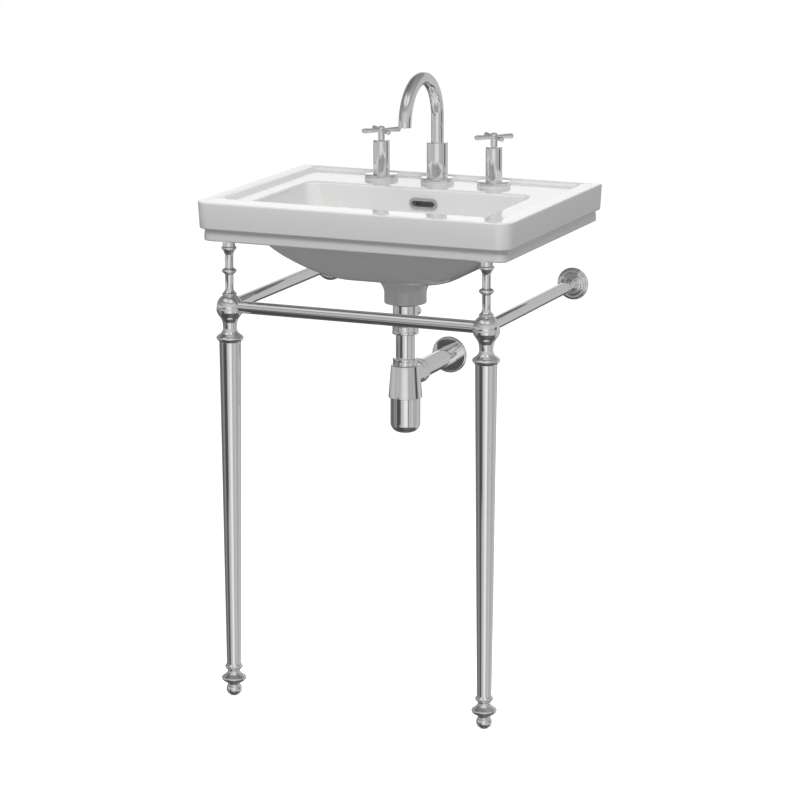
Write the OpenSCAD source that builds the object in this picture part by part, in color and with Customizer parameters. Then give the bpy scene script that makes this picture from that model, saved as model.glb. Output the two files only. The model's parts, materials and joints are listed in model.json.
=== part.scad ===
// Console sink: a glazed basin on two turned chrome legs, with three-hole taps and a bottle trap.
// Origin: on the floor, under the centre of the basin. X to the right, Y to the wall, Z up.

/* [Basin] */
// Width of the basin
basin_w = 560; // [520:5:600]
// Depth of the basin, from its front edge to the wall
basin_d = 444; // [430:2:470]
// Height of the rim above the floor
rim_h = 854.5; // [840:0.5:880]
// Height of the upper band of the apron
upper_band_h = 45; // [40:1:50]
// Height of the set-back lower band
lower_band_h = 20.5; // [16:0.5:24]
// How far the lower band stands back from the rim's edge
band_step = 10; // [8:1:14]
// How far the upper band draws in towards its foot
band_draft = 2.5; // [1:0.5:4]
// Radius of the two front corners in plan
corner_r = 27; // [23:1:34]
// Thickness of the apron
apron_t = 12; // [10:1:14]
// Thickness of the tap deck
deck_t = 12; // [10:0.5:15]
// Width of the flat rim at the two sides
rim_side_w = 29; // [24:0.5:32]
// Width of the flat rim at the back
rim_back_w = 14; // [10:0.5:16]
// Width of the flat rim at the front
rim_front_w = 49; // [44:1:50]
// Width of the sloping cove inside the rim
cove_run = 12; // [8:1:14]
// Depth of the sunk ledge below the rim
ledge_drop = 5.5; // [4:0.5:8]

/* [Bowl] */
// Width of the bowl's mouth
bowl_w = 412; // [390:2:420]
// Depth of the tap deck, from the bowl's mouth to the wall
tap_deck_d = 142; // [134:1:150]
// Distance from the basin's front edge to the bowl's mouth
bowl_front = 64; // [62:1:70]
// Depth of the bowl below the ledge
bowl_depth = 123; // [112:1:130]
// Corner radius of the bowl's mouth
bowl_corner_r = 22; // [16:1:30]
// Thickness of the bowl's wall
bowl_t = 12; // [9:0.5:13]
// How far the bowl draws in by the bottom of the apron
bowl_waist_in = 13; // [8:1:16]
// Width of the bowl's flat floor
floor_w = 160; // [150:1:180]
// Front to back size of the bowl's flat floor
floor_d = 132; // [124:1:140]
// Distance of the floor's centre ahead of the drain
floor_ahead = 19; // [15:1:22]
// Distance of the drain ahead of the bowl's back edge
drain_ahead = 59.5; // [55:0.5:65]

/* [Overflow] */
// Width of the overflow slot
slot_w = 41; // [34:1:46]
// Height of the overflow slot
slot_h = 10; // [8:0.5:12]
// Depth of the slot's centre below the ledge
slot_drop = 25; // [22:1:30]
// Sideways place of the slot
slot_x = 9; // [0:1:12]
// Width of the chrome ring round the slot
ring_w = 5.5; // [4:0.5:7]
// How far the ring stands proud of the bowl
ring_proud = 1.6; // [1:0.2:2.4]
// Clear depth of the overflow duct
duct_t = 9; // [7:0.5:11]
// Thickness of the overflow duct's wall
duct_wall = 6; // [5:0.5:8]

/* [Waste] */
// Radius of the ceramic boss under the bowl
boss_r = 36; // [34:0.5:38]
// Height of the boss below the bowl
boss_h = 51; // [44:1:58]
// Radius of the drain hole in the boss
drain_r = 22.5; // [21.5:0.5:24]
// Radius of the waste flange in the bowl
waste_flange_r = 32; // [30:0.5:33]
// Thickness of the waste flange
waste_flange_t = 3; // [2:0.5:4]
// Outer radius of the waste tube
waste_tube_r = 17.5; // [16.5:0.5:18]
// Inner radius of the waste tube
waste_bore_r = 15.5; // [14.5:0.5:16]
// Outer radius of the waste tail below the boss
tail_r = 21.5; // [21.5:0.5:23]
// Length of the waste tail
tail_h = 35.5; // [32:0.5:40]
// Radius of the cap nut on the tail's rear port
port_nut_r = 7.8; // [6.5:0.1:9]
// Reach of the port from the drain's axis to the cap nut's end
port_reach = 53; // [48:1:56]
// Radius of the plug
plug_r = 29; // [27:0.5:30]
// Height of the plug's cap
plug_h = 5; // [4:0.5:6]
// Radius of the plug's stem
plug_stem_r = 4; // [3:0.5:5]

/* [Trap] */
// Outer radius of the waste pipes
pipe_r = 16.3; // [16:0.1:16.8]
// Wall thickness of the waste pipes
pipe_t = 1.8; // [1.4:0.1:2.2]
// Outer radius of the inlet nut
inlet_nut_r = 22.6; // [22.2:0.1:24]
// Height of the inlet nut
inlet_nut_h = 15; // [12:0.5:16]
// Outer radius of the nut on top of the trap
top_nut_r = 21.8; // [21:0.1:23]
// Height of the nut on top of the trap
top_nut_h = 13; // [12:0.5:18]
// Length of inlet pipe that shows between the two nuts
inlet_show = 41.5; // [30:0.5:50]
// Height of the cone-shaped trap body
cone_h = 56; // [50:1:60]
// Radius of the trap body at its top
cone_top_r = 24.6; // [23.8:0.1:25.4]
// Radius of the trap body at its foot
cone_foot_r = 29; // [28:0.1:30.5]
// Outer radius of the bottle
bottle_r = 25.6; // [25:0.1:26]
// Height of the bottle that shows below the trap body
bottle_h = 61; // [52:1:66]
// Radius of the rounding at the bottle's foot
bottle_round = 16; // [10:1:18]
// Wall thickness of the bottle
bottle_t = 2; // [1.5:0.1:2.5]
// Drop from the top of the trap body to the outlet's axis
outlet_drop = 22; // [21:0.5:24]
// Outer radius of the outlet nut
outlet_nut_r = 21.3; // [20.5:0.1:22]
// Length of the outlet nut
outlet_nut_l = 19; // [18:0.5:22]
// Reach of the outlet branch's nut from the trap's axis
outlet_nut_reach = 62; // [56:1:66]
// Radius of the round cover plate at the wall
rosette_r = 32.4; // [31:0.1:34]
// Thickness of the round cover plate
rosette_t = 5; // [3:0.5:7]

/* [Taps] */
// Distance between the tap holes
tap_pitch = 104.5; // [98:0.5:110]
// Distance of the tap holes from the wall
tap_wall = 60; // [58:1:61]
// Radius of the tap holes
tap_hole_r = 16; // [15:0.5:17.5]
// Radius of the round flange under each tap
tap_flange_r = 28.8; // [26:0.2:29]
// Thickness of the round flange
tap_flange_t = 8; // [6:0.5:10]
// Radius of the hot and cold tap bodies
tap_body_r = 14.3; // [14:0.1:15.5]
// Height of the tap bodies above their flange
tap_body_h = 59; // [54:1:64]
// Radius of the rounded top of the tap bodies
tap_round = 3; // [2:0.5:4]
// Radius of the handle's neck
neck_r = 6; // [5.5:0.1:6.5]
// Height of the cross above the top of the tap body
cross_up = 17; // [15:0.5:22]
// Reach of the cross arms from the centre
arm_reach = 36.2; // [30:0.2:40]
// Radius of a cross arm at the hub
arm_root_r = 2.8; // [2.4:0.1:3.2]
// Radius of a cross arm at its end
arm_tip_r = 4.3; // [3.8:0.1:4.6]
// Radius of the threaded shanks under the deck
shank_r = 12.8; // [12.5:0.1:13.2]
// Length of the threaded shanks below the ledge
shank_l = 58; // [54:1:62]
// Radius of the water inlets' thread
inlet_r = 10.4; // [10:0.1:10.6]
// Length of the water inlets' thread
inlet_l = 16; // [14:1:20]

/* [Spout] */
// Radius of the spout's base
spout_base_r = 18.2; // [17:0.1:20]
// Height of the spout's base above its flange
spout_base_h = 61; // [57:0.5:65]
// Outer radius of the spout's tube
spout_r = 11; // [10.5:0.1:11.5]
// Wall thickness of the spout's tube
spout_t = 1.5; // [1:0.1:2]
// Radius of the spout's bend, along the tube's centre
spout_bend_r = 72; // [66:1:76]
// Height of the bend's ends above the ledge
outlet_h = 115; // [108:1:124]
// Length of the straight tip below the bend
spout_tip_l = 2; // [1:0.5:6]

/* [Legs] */
// Distance of the leg's axis from the basin's side
leg_side = 50.5; // [46:0.5:56]
// Distance of the leg's axis from the basin's front edge
leg_front = 33; // [31:1:37]
// Height of the turned spindle between the basin and the ball
spindle_h = 91.5; // [86:0.5:98]
// Radius of the ball that joins the rails
ball_r = 21.7; // [20.5:0.1:23]
// Radius of the spindle's widest ring
spindle_ring_r = 12.7; // [12:0.1:14]
// Thickness of the pad under the basin
pad_t = 1; // [0.8:0.1:2]
// Depth of the turned capital under the ball
capital_h = 34; // [32:0.5:38]
// Radius of the capital's widest ring
capital_r = 22.9; // [22:0.1:24]
// Radius of the leg tube at its top
tube_top_r = 18.1; // [17.6:0.1:18.6]
// Radius of the leg tube at its foot
tube_foot_r = 11.9; // [11.4:0.1:12.4]
// Wall thickness of the leg tube
tube_t = 1.5; // [1:0.1:2]
// Height of the turned foot
foot_h = 56; // [50:1:60]
// Radius of the foot's widest ring
foot_r = 21; // [20.2:0.1:22]
// Radius of the threaded tie rods inside the legs
rod_r = 4; // [3:0.5:4]

/* [Rails] */
// Outer radius of the rails
rail_r = 10.3; // [9.8:0.1:10.6]
// Wall thickness of the rails
rail_t = 1.7; // [1.4:0.1:2]
// Distance from the ball's centre to the end of a rail in its socket
socket_end = 11.5; // [11:0.5:13]

/* [Wall flanges] */
// Radius of the flange
flange_r = 28; // [27:0.1:29]
// Thickness of the flange's outer ring
flange_t = 8; // [7:0.5:9]
// Height of the flange's stepped boss above the wall
flange_boss_h = 19.5; // [17:0.5:24]
// Distance from the wall to the end of the rail
rail_gap = 41; // [37:0.5:45]
// Radius of the mounting plate behind the flange
plate_r = 19; // [18:0.5:19.5]
// Thickness of the mounting plate
plate_t = 3.6; // [3:0.1:4]
// Distance between the plate's two screw holes
plate_pitch = 26; // [24:0.5:27]
// Radius of the plate's screw holes
plate_hole_r = 2.5; // [2:0.1:2.8]

/* [Wall bolts] */
// Distance between the two wall bolts
bolt_pitch = 280; // [260:5:300]
// Radius of the wall bolt holes
bolt_hole_r = 7; // [6:0.5:8]
// Depth of the wall bolts below the rim
bolt_drop = 42; // [40:1:46]

/* [Clearances] */
// Radial clearance of a turning or sliding fit
run_gap = 0.05; // [0.02:0.01:0.1]
// Radial clearance of a fixed piece in its hole
fit_gap = 0.1; // [0.05:0.01:0.2]
// Gap between faces that move past each other
face_gap = 0.4; // [0.3:0.1:0.6]

/* [Hidden] */
$fn = 72;
// One overrun for every cut
over = 1;
// Thickness of the slices that a blended form is drawn over
slice_t = 0.5;
// Sides of a circle inside a blended form
blend_sides = 40;

// Heights of the basin
ledge_z = rim_h - ledge_drop;
deck_z = ledge_z - deck_t;
band_z = rim_h - upper_band_h;
under_z = band_z - lower_band_h;
front_y = -basin_d / 2;
wall_y = basin_d / 2;
cavity_w = basin_w - 2 * band_step - 2 * apron_t;

// Bowl
bowl_d = basin_d - bowl_front - tap_deck_d;
bowl_y = front_y + bowl_front + bowl_d / 2;
bowl_floor_z = ledge_z - bowl_depth;
bowl_back_y = bowl_y + bowl_d / 2;
drain_y = bowl_back_y - drain_ahead;
waist_w = bowl_w - 2 * bowl_waist_in;
waist_front_y = front_y + bowl_front + bowl_waist_in;
waist_back_y = bowl_back_y - bowl_waist_in / 4;
waist_d = waist_back_y - waist_front_y;
waist_y = (waist_back_y + waist_front_y) / 2;
waist_corner_r = 3 * bowl_t;
floor_y = drain_y - floor_ahead;
floor_corner_r = 2 * bowl_t;
bowl_levels = 8;
bowl_power = 1.31;
leg_pad_r = leg_front - band_step - over;
bolt_pad_w = 6 * bolt_hole_r;
bolt_pad_t = bowl_t;
bolt_z = rim_h - bolt_drop;

// Overflow
slot_z = ledge_z - slot_drop;
slot_low = slot_drop + slot_h / 2 + ring_w;
slot_y = bowl_back_y - (bowl_back_y - waist_back_y) * slot_low / (ledge_z - under_z);
duct_front_y = bowl_back_y + bowl_t;
duct_w = slot_w + slot_h / 2;
duct_top_z = slot_z + slot_h;
duct_foot_z = bowl_floor_z - bowl_t - duct_t;
duct_knee_y = duct_front_y - duct_t;

// Waste
boss_z = bowl_floor_z - bowl_t - boss_h;
seat_drop = waste_flange_t;
seal_t = 1;
seat_z = bowl_floor_z - seat_drop;
waste_top_z = seat_z + seal_t + waste_flange_t;
waste_foot_z = boss_z - tail_h / 2;
boss_seal_t = 3;
tail_top_z = boss_z - boss_seal_t;
tail_foot_z = tail_top_z - tail_h;
tail_bore_r = waste_bore_r - fit_gap;
tail_spigot_r = inlet_nut_r - 2.5 * pipe_t;
port_z = tail_foot_z + 2 * port_nut_r;
port_r = 5.5;
port_nut_l = 9;
seal_over = 1.5;
boss_round = 3;
slot_count = 4;
waste_slot_w = 7;
waste_slot_h = 16;
waste_slot_z = duct_foot_z + duct_t / 2;
guide_t = 4;
guide_z = seat_z - 2 * guide_t;
guide_spoke_w = 3;
guide_rim_t = 2;
guide_hub_r = plug_stem_r + guide_rim_t;
plug_stem_l = 34;
plug_seal_t = 2;
plug_z = waste_top_z + face_gap;
plug_neck_r = 2 * plug_stem_r;

// Trap
pipe_bore_r = pipe_r - pipe_t;
nut_lip = 2.5;
collar_t = 1.5;
flutes = 12;
flute_r = 1.6;
flute_share = 0.55;
inlet_nut_z = tail_foot_z - inlet_nut_h;
collar_z = inlet_nut_z + nut_lip;
tail_spigot_z = collar_z + collar_t + seal_t;
collar_r = tail_spigot_r - fit_gap;
top_nut_z = inlet_nut_z - inlet_show - top_nut_h;
cone_z = top_nut_z - cone_h;
trap_neck_r = top_nut_r - 2 * pipe_t;
trap_neck_h = top_nut_h - nut_lip - 2 * seal_t;
outlet_z = top_nut_z - outlet_drop;
skirt_h = 5;
thread_h = 11;
trap_wall_t = 2.4;
skirt_r = bottle_r + 2 * fit_gap;
bottle_neck_r = bottle_r - 3;
bottle_top_z = cone_z + skirt_h - seal_t;
bottle_foot_z = cone_z - bottle_h;
trap_cavity_r = bottle_neck_r - bottle_t;
dip_z = bottle_foot_z + bottle_r;
branch_r = outlet_nut_r - pipe_t - fit_gap;
branch_end = outlet_nut_reach - nut_lip - 2 * seal_t;
branch_bore_r = pipe_bore_r - pipe_t / 2;
outlet_pipe_start = branch_end - 2 * nut_lip;
rosette_round = 0.6 * rosette_t;

// Taps
tap_y = wall_y - tap_wall;
tap_places = [-tap_pitch, 0, tap_pitch];
gasket_t = 1;
gasket_in = 3;
flange_round = 1.5;
flange_bore_r = shank_r + fit_gap;
valve_top = tap_flange_t + tap_body_h - 4 * tap_round;
valve_bore_r = shank_r - 3;
water_bore_r = 6;
cartridge_foot = tap_flange_t + tap_round;
cartridge_top = valve_top + tap_round;
cartridge_r = valve_bore_r - fit_gap;
stem_r = 3.5;
stem_foot = cartridge_foot + tap_body_h / 2;
body_top = tap_flange_t + tap_body_h;
handle_foot = body_top + face_gap;
cross_z = body_top + cross_up;
hub_top = cross_z + arm_tip_r + arm_root_r / 2;
hub_round = 1;
stem_top = cross_z;
cap_r = neck_r - hub_round;
cap_h = 1.2;
backnut_r = 20;
backnut_h = 8;
washer_r = 21;
washer_t = 2.5;
port_drop = 46;
nipple_r = 7;
nipple_reach = shank_r + 10;
link_pipe_r = 5;
link_bore_r = 3.8;
link_nut_r = 9;
link_nut_l = 12;

// Spout
spout_shank_top = tap_flange_t + spout_base_h / 2;
spout_bore_r = spout_r - spout_t;
spout_seat = spout_shank_top + 2 * spout_t;
spout_foot = spout_seat + face_gap;
groove_r = spout_r - spout_t / 2;
groove_h = 2.4;
groove_up_shares = [0.2, 0.75];
aerator_h = 4;
aerator_r = spout_bore_r - 3 * fit_gap;
aerator_hole_r = 1.1;
aerator_ring_share = 0.55;
aerator_holes = 8;

// Legs
leg_x = basin_w / 2 - leg_side;
leg_y = front_y + leg_front;
ball_top_share = 0.876;
ball_low_angle = -5;
ball_foot_share = 1.221;
ball_tail_shares = [
    [1.035, -0.2], [1.01, -0.391], [0.935, -0.576], [0.811, -0.76], [0.677, -0.944],
    [0.6, -1.129], [0.567, -1.221]
];
spindle_top_z = under_z - pad_t;
ball_top_z = spindle_top_z - spindle_h;
rail_h = ball_top_z - ball_top_share * ball_r;
ball_foot_z = rail_h - ball_foot_share * ball_r;
capital_foot_z = ball_foot_z - capital_h;
spindle_shares = [
    [0.866, 0], [0.984, 0.016], [0.945, 0.033], [0.772, 0.055], [0.63, 0.082], [0.559, 0.126],
    [0.559, 0.388], [0.78, 0.41], [0.965, 0.435], [0.99, 0.454], [0.89, 0.475], [0.559, 0.505],
    [0.559, 0.749], [0.63, 0.781], [0.795, 0.833], [0.976, 0.853], [1, 0.869], [0.96, 0.891],
    [0.827, 0.902], [0.827, 1]
];
capital_shares = [
    [0.803, 0], [0.808, 0.023], [0.83, 0.066], [0.9, 0.103], [0.975, 0.157], [1, 0.206],
    [0.995, 0.243], [0.95, 0.286], [0.85, 0.343], [0.67, 0.43], [0.555, 0.543], [0.495, 0.686],
    [0.505, 0.86], [0.54, 1]
];
foot_shares = [
    [0.261, 0], [0.3, 0.014], [0.498, 0.079], [0.585, 0.134], [0.618, 0.211], [0.589, 0.277],
    [0.502, 0.327], [0.493, 0.345], [0.512, 0.384], [0.628, 0.421], [0.845, 0.464], [0.966, 0.509],
    [1, 0.554], [0.976, 0.589], [0.773, 0.643], [0.589, 0.696], [0.507, 0.741], [0.493, 0.779],
    [0.512, 0.821], [0.618, 0.848], [0.7, 0.884], [0.715, 0.911], [0.686, 0.946], [0.62, 0.979],
    [0.58, 1]
];
spigot_l = 12;
rod_in_spindle = 14;
rod_in_foot = 18;

// Rails and wall flanges
rail_bore_r = rail_r - rail_t;
side_rail_l = basin_d - leg_front - socket_end - rail_gap;
spigot_r = rail_bore_r - fit_gap;
spigot_in = 30;
plate_stud_r = 5;
plate_stud_l = 14;
flange_shares = [
    [0.97, 0], [1, 0.15], [1, 0.375], [0.954, 0.55], [0.916, 0.575], [0.893, 0.875], [0.84, 1],
    [0.786, 1.025], [0.771, 0.925], [0.733, 1.075], [0.71, 1.15], [0.66, 0.95], [0.611, 0.825],
    [0.535, 0.825]
];
boss_step_shares = [
    [0.507, 0.41], [0.486, 0.615], [0.443, 0.687], [0.4, 0.872], [0.371, 0.944], [0.307, 0.995]
];

// Points along a round arc
function arc(x, y, r, from, to, steps = 8) =
    [for (i = [0:steps]) [x + r * cos(from + (to - from) * i / steps),
                          y + r * sin(from + (to - from) * i / steps)]];

// A table of shares, as points of a given radius and height
function sized(shares, r, h) = [for (s = shares) [s[0] * r, s[1] * h]];

// How far the bowl's wall has spread at a share of its depth, from 1 at the waist to 0
function spread(share) = pow(1 - pow(share, bowl_power), 1 / bowl_power);

module tube(outer_r, inner_r, h) {
    difference() {
        cylinder(r = outer_r, h = h);
        translate([0, 0, -over]) cylinder(r = inner_r, h = h + 2 * over);
    }
}

// A turned piece, solid to its axis, from points that run upwards
module turned(points) {
    top = points[len(points) - 1];
    rotate_extrude() polygon(concat([[0, points[0][1]]], points, [[0, top[1]]]));
}

// Lays a piece that stands on its foot so that it points to the wall
module to_wall() {
    rotate([-90, 0, 0]) children();
}

// Puts a piece at both sides of the middle
module both_sides() {
    children();
    mirror([1, 0, 0]) children();
}

// A round nut with flutes for the grip
module fluted_nut(r, h, bore_r, thread_r, thread_z) {
    difference() {
        cylinder(r = r, h = h);
        translate([0, 0, -over]) cylinder(r = bore_r, h = h + 2 * over);
        translate([0, 0, thread_z]) cylinder(r = thread_r, h = h);
        for (i = [0:flutes - 1])
            rotate([0, 0, 360 * i / flutes])
                translate([r + flute_share * flute_r, 0, -over])
                    cylinder(r = flute_r, h = h + 2 * over, $fn = 24);
    }
}

// Outline of the apron, set in from the rim's edge at the front and sides, flush at the wall
module apron_plan(inset, r) {
    w = basin_w - 2 * inset;
    y = front_y + inset;
    translate([-w / 2, y + r]) square([w, wall_y - y - r]);
    translate([-w / 2 + r, y]) square([w - 2 * r, 2 * r]);
    for (x = [-w / 2 + r, w / 2 - r]) translate([x, y + r]) circle(r = r);
}

// A rounded rectangle in plan, one slice thick
module slice(w, d, r, y, z) {
    translate([0, y, z - slice_t]) linear_extrude(slice_t) {
        square([w, d - 2 * r], center = true);
        square([w - 2 * r, d], center = true);
        for (x = [-w / 2 + r, w / 2 - r], v = [-d / 2 + r, d / 2 - r])
            translate([x, v]) circle(r = r, $fn = blend_sides);
    }
}

// The bowl's form, grown outwards by a wall thickness and ending at a given top
module bowl_form(grow, top_z) {
    foot_z = bowl_floor_z - grow;
    hull() {
        slice(bowl_w + 2 * grow, bowl_d + 2 * grow, bowl_corner_r + grow, bowl_y, top_z);
        for (i = [0:bowl_levels]) {
            f = spread(i / bowl_levels);
            slice(
                floor_w + (waist_w - floor_w) * f + 2 * grow,
                floor_d + (waist_d - floor_d) * f + 2 * grow,
                floor_corner_r + (waist_corner_r - floor_corner_r) * f + grow,
                floor_y + (waist_y - floor_y) * f,
                under_z - (under_z - foot_z) * i / bowl_levels + slice_t
            );
        }
    }
}

// The sunk tray inside the rim, with its sloping cove
module tray() {
    side = rim_side_w + cove_run;
    front = rim_front_w + cove_run;
    back = rim_back_w + cove_run;
    hull() {
        slice(basin_w - 2 * rim_side_w, basin_d - rim_front_w - rim_back_w, cove_run,
              (rim_front_w - rim_back_w) / 2, rim_h + slice_t);
        slice(basin_w - 2 * side, basin_d - front - back, cove_run / 2,
              (front - back) / 2, ledge_z + slice_t);
    }
}

// Side view of the overflow duct, from the bowl's back wall down to the drain
module duct_plan(grow) {
    front = duct_front_y - grow;
    back = duct_front_y + duct_t + grow;
    polygon([
        [drain_y, duct_foot_z - grow], [duct_knee_y, duct_foot_z + duct_t / 2 - grow],
        [back, duct_foot_z + 2 * duct_t], [back, duct_top_z], [front, duct_top_z],
        [front, bowl_floor_z + duct_t], [duct_knee_y - duct_t, duct_foot_z + duct_t + grow],
        [drain_y, duct_foot_z + duct_t + grow]
    ]);
}

module duct(w, grow) {
    translate([slot_x - w / 2, 0, 0])
        rotate([90, 0, 90]) linear_extrude(w) duct_plan(grow);
}

// A stadium shape that points to the wall
module slot_shape(w, h, l) {
    to_wall() {
        translate([-(w - h) / 2, -h / 2, 0]) cube([w - h, h, l]);
        for (x = [-(w - h) / 2, (w - h) / 2]) translate([x, 0, 0]) cylinder(d = h, h = l);
    }
}

module boss() {
    translate([0, drain_y, boss_z])
        turned(concat(
            [[drain_r, 0]],
            arc(boss_r - boss_round, boss_round, boss_round, -90, 0),
            [[boss_r, bowl_floor_z - boss_z - bowl_t / 2]]
        ));
}

module basin_shell() {
    difference() {
        union() {
            hull() {
                translate([0, 0, rim_h - slice_t])
                    linear_extrude(slice_t) apron_plan(0, corner_r);
                translate([0, 0, band_z])
                    linear_extrude(slice_t) apron_plan(band_draft, corner_r - band_draft);
            }
            translate([0, 0, under_z])
                linear_extrude(lower_band_h + over) apron_plan(band_step, corner_r - band_step);
        }
        translate([-cavity_w / 2, front_y + band_step + apron_t, under_z - over])
            cube([cavity_w, basin_d - band_step - 2 * apron_t, deck_z - under_z + over]);
    }
}

module basin() {
    color("whitesmoke")
    difference() {
        union() {
            basin_shell();
            bowl_form(bowl_t, deck_z + slice_t);
            boss();
            duct(duct_w + 2 * duct_wall, duct_wall);
            both_sides() {
                translate([leg_x, leg_y, under_z]) cylinder(r = leg_pad_r, h = deck_z - under_z + over);
                translate([bolt_pitch / 2 - bolt_pad_w / 2, wall_y - apron_t - bolt_pad_t, under_z])
                    cube([bolt_pad_w, bolt_pad_t + over, deck_z - under_z + over]);
            }
        }
        tray();
        bowl_form(0, ledge_z + over);
        duct(duct_w, 0);
        translate([slot_x, slot_y - bowl_t, slot_z])
            slot_shape(slot_w, slot_h, duct_front_y - slot_y + bowl_t + duct_t / 2);
        translate([0, drain_y, boss_z - over]) cylinder(r = drain_r, h = bowl_floor_z - boss_z);
        translate([0, drain_y, seat_z]) cylinder(r = waste_flange_r + 5 * fit_gap, h = 3 * seat_drop);
        for (x = tap_places)
            translate([x, tap_y, deck_z - over]) cylinder(r = tap_hole_r, h = deck_t + 2 * over);
        both_sides()
            translate([bolt_pitch / 2, wall_y - apron_t - bolt_pad_t - over, bolt_z])
                to_wall() cylinder(r = bolt_hole_r, h = apron_t + bolt_pad_t + 2 * over);
    }
}

module overflow_ring() {
    w = slot_w - 2 * fit_gap;
    h = slot_h - 2 * fit_gap;
    flange_w = slot_w + 2 * ring_w;
    flange_h = slot_h + 2 * ring_w;
    wall = 1;
    color("silver")
    translate([slot_x, slot_y - ring_proud - fit_gap, slot_z])
        difference() {
            union() {
                slot_shape(flange_w, flange_h, ring_proud);
                slot_shape(w, h, ring_proud + bowl_t / 2);
            }
            translate([0, -over, 0])
                slot_shape(w - 2 * wall, h - 2 * wall, ring_proud + bowl_t + 2 * over);
        }
}

module waste_body() {
    foot = waste_foot_z - seat_z;
    color("silver")
    translate([0, drain_y, seat_z + seal_t])
        difference() {
            union() {
                turned(concat(
                    [[waste_flange_r - over, 0]],
                    arc(waste_flange_r - over, waste_flange_t - over, over, 0, 90)
                ));
                translate([0, 0, foot]) cylinder(r = waste_tube_r, h = -foot + over);
            }
            translate([0, 0, foot - over])
                cylinder(r = waste_bore_r, h = -foot + waste_flange_t + 2 * over);
            for (i = [0:slot_count - 1])
                rotate([0, 0, 360 * i / slot_count])
                    translate([0, -waste_slot_w / 2, waste_slot_z - seat_z - waste_slot_h / 2])
                        cube([2 * waste_tube_r, waste_slot_w, waste_slot_h]);
        }
}

module waste_seals() {
    color("dimgray")
    translate([0, drain_y, 0]) {
        translate([0, 0, seat_z]) tube(waste_flange_r - seal_over, drain_r + seal_over, seal_t);
        translate([0, 0, tail_top_z])
            tube(drain_r + seal_over, waste_tube_r + fit_gap, boss_seal_t);
    }
}

module waste_tail() {
    socket = tail_top_z - waste_foot_z + fit_gap;
    color("silver")
    translate([0, drain_y, 0])
        difference() {
            union() {
                translate([0, 0, tail_foot_z]) cylinder(r = tail_r, h = tail_h);
                translate([0, 0, tail_spigot_z])
                    cylinder(r = tail_spigot_r, h = tail_foot_z - tail_spigot_z + over);
                translate([0, 0, port_z]) to_wall() cylinder(r = port_r, h = port_reach - port_nut_l / 2);
            }
            translate([0, 0, tail_spigot_z - over])
                cylinder(r = tail_bore_r, h = tail_top_z - tail_spigot_z + 2 * over);
            translate([0, 0, tail_top_z - socket])
                cylinder(r = waste_tube_r + fit_gap, h = socket + over);
        }
}

module waste_port_nut() {
    color("silver")
    translate([0, drain_y + port_reach - port_nut_l, port_z])
        to_wall()
            difference() {
                cylinder(r = port_nut_r, h = port_nut_l);
                translate([0, 0, -over]) cylinder(r = port_r + fit_gap, h = port_nut_l / 2 + over);
            }
}

module waste_plug() {
    color("silver")
    translate([0, drain_y, plug_z]) {
        turned(concat(
            [[plug_r - plug_h / 2, 0], [plug_r, plug_h / 4]],
            arc(plug_r - plug_h / 2, plug_h / 2, plug_h / 2, 0, 90)
        ));
        translate([0, 0, -plug_stem_l]) cylinder(r = plug_stem_r, h = plug_stem_l + over);
        translate([0, 0, -plug_seal_t - face_gap])
            cylinder(r = plug_neck_r, h = plug_seal_t + 2 * face_gap);
    }
}

module plug_seal() {
    color("dimgray")
    translate([0, drain_y, plug_z - plug_seal_t])
        tube(waste_bore_r - face_gap, plug_neck_r + fit_gap, plug_seal_t);
}

module plug_guide() {
    color("silver")
    translate([0, drain_y, guide_z - guide_t])
        difference() {
            union() {
                tube(waste_bore_r - fit_gap, waste_bore_r - guide_rim_t, guide_t);
                cylinder(r = guide_hub_r, h = guide_t);
                for (a = [0, 90])
                    rotate([0, 0, a])
                        translate([-waste_bore_r + guide_rim_t / 2, -guide_spoke_w / 2, 0])
                            cube([2 * waste_bore_r - guide_rim_t, guide_spoke_w, guide_t]);
            }
            translate([0, 0, -over]) cylinder(r = plug_stem_r + run_gap, h = guide_t + 2 * over);
        }
}

module trap_inlet_nut() {
    color("silver")
    translate([0, drain_y, inlet_nut_z])
        fluted_nut(inlet_nut_r, inlet_nut_h, pipe_r + fit_gap, tail_spigot_r + fit_gap, nut_lip);
}

module trap_inlet_pipe() {
    color("silver")
    translate([0, drain_y, 0]) {
        translate([0, 0, dip_z]) tube(pipe_r, pipe_bore_r, collar_z + collar_t - dip_z);
        translate([0, 0, collar_z]) tube(collar_r, pipe_r - pipe_t / 2, collar_t);
    }
}

module trap_top_nut() {
    color("silver")
    translate([0, drain_y, top_nut_z + top_nut_h])
        mirror([0, 0, 1])
            fluted_nut(top_nut_r, top_nut_h, pipe_r + fit_gap, trap_neck_r + fit_gap, nut_lip);
}

module trap_body() {
    color("silver")
    translate([0, drain_y, 0])
        difference() {
            union() {
                translate([0, 0, cone_z]) cylinder(r1 = cone_foot_r, r2 = cone_top_r, h = cone_h);
                translate([0, 0, top_nut_z - over])
                    cylinder(r = trap_neck_r, h = trap_neck_h + over);
                translate([0, 0, outlet_z]) to_wall() cylinder(r = branch_r, h = branch_end);
            }
            translate([0, 0, cone_z]) {
                translate([0, 0, -over]) cylinder(r = skirt_r, h = skirt_h + over);
                cylinder(r = bottle_neck_r + fit_gap, h = skirt_h + thread_h);
                cylinder(r = trap_cavity_r, h = cone_h - trap_wall_t);
            }
            translate([0, 0, outlet_z])
                cylinder(r = pipe_r + fit_gap, h = top_nut_z - outlet_z + top_nut_h);
            translate([0, 0, outlet_z]) to_wall() {
                cylinder(r = branch_bore_r, h = branch_end + over);
                translate([0, 0, outlet_pipe_start])
                    cylinder(r = pipe_r + fit_gap, h = branch_end - outlet_pipe_start + over);
            }
        }
}

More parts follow.
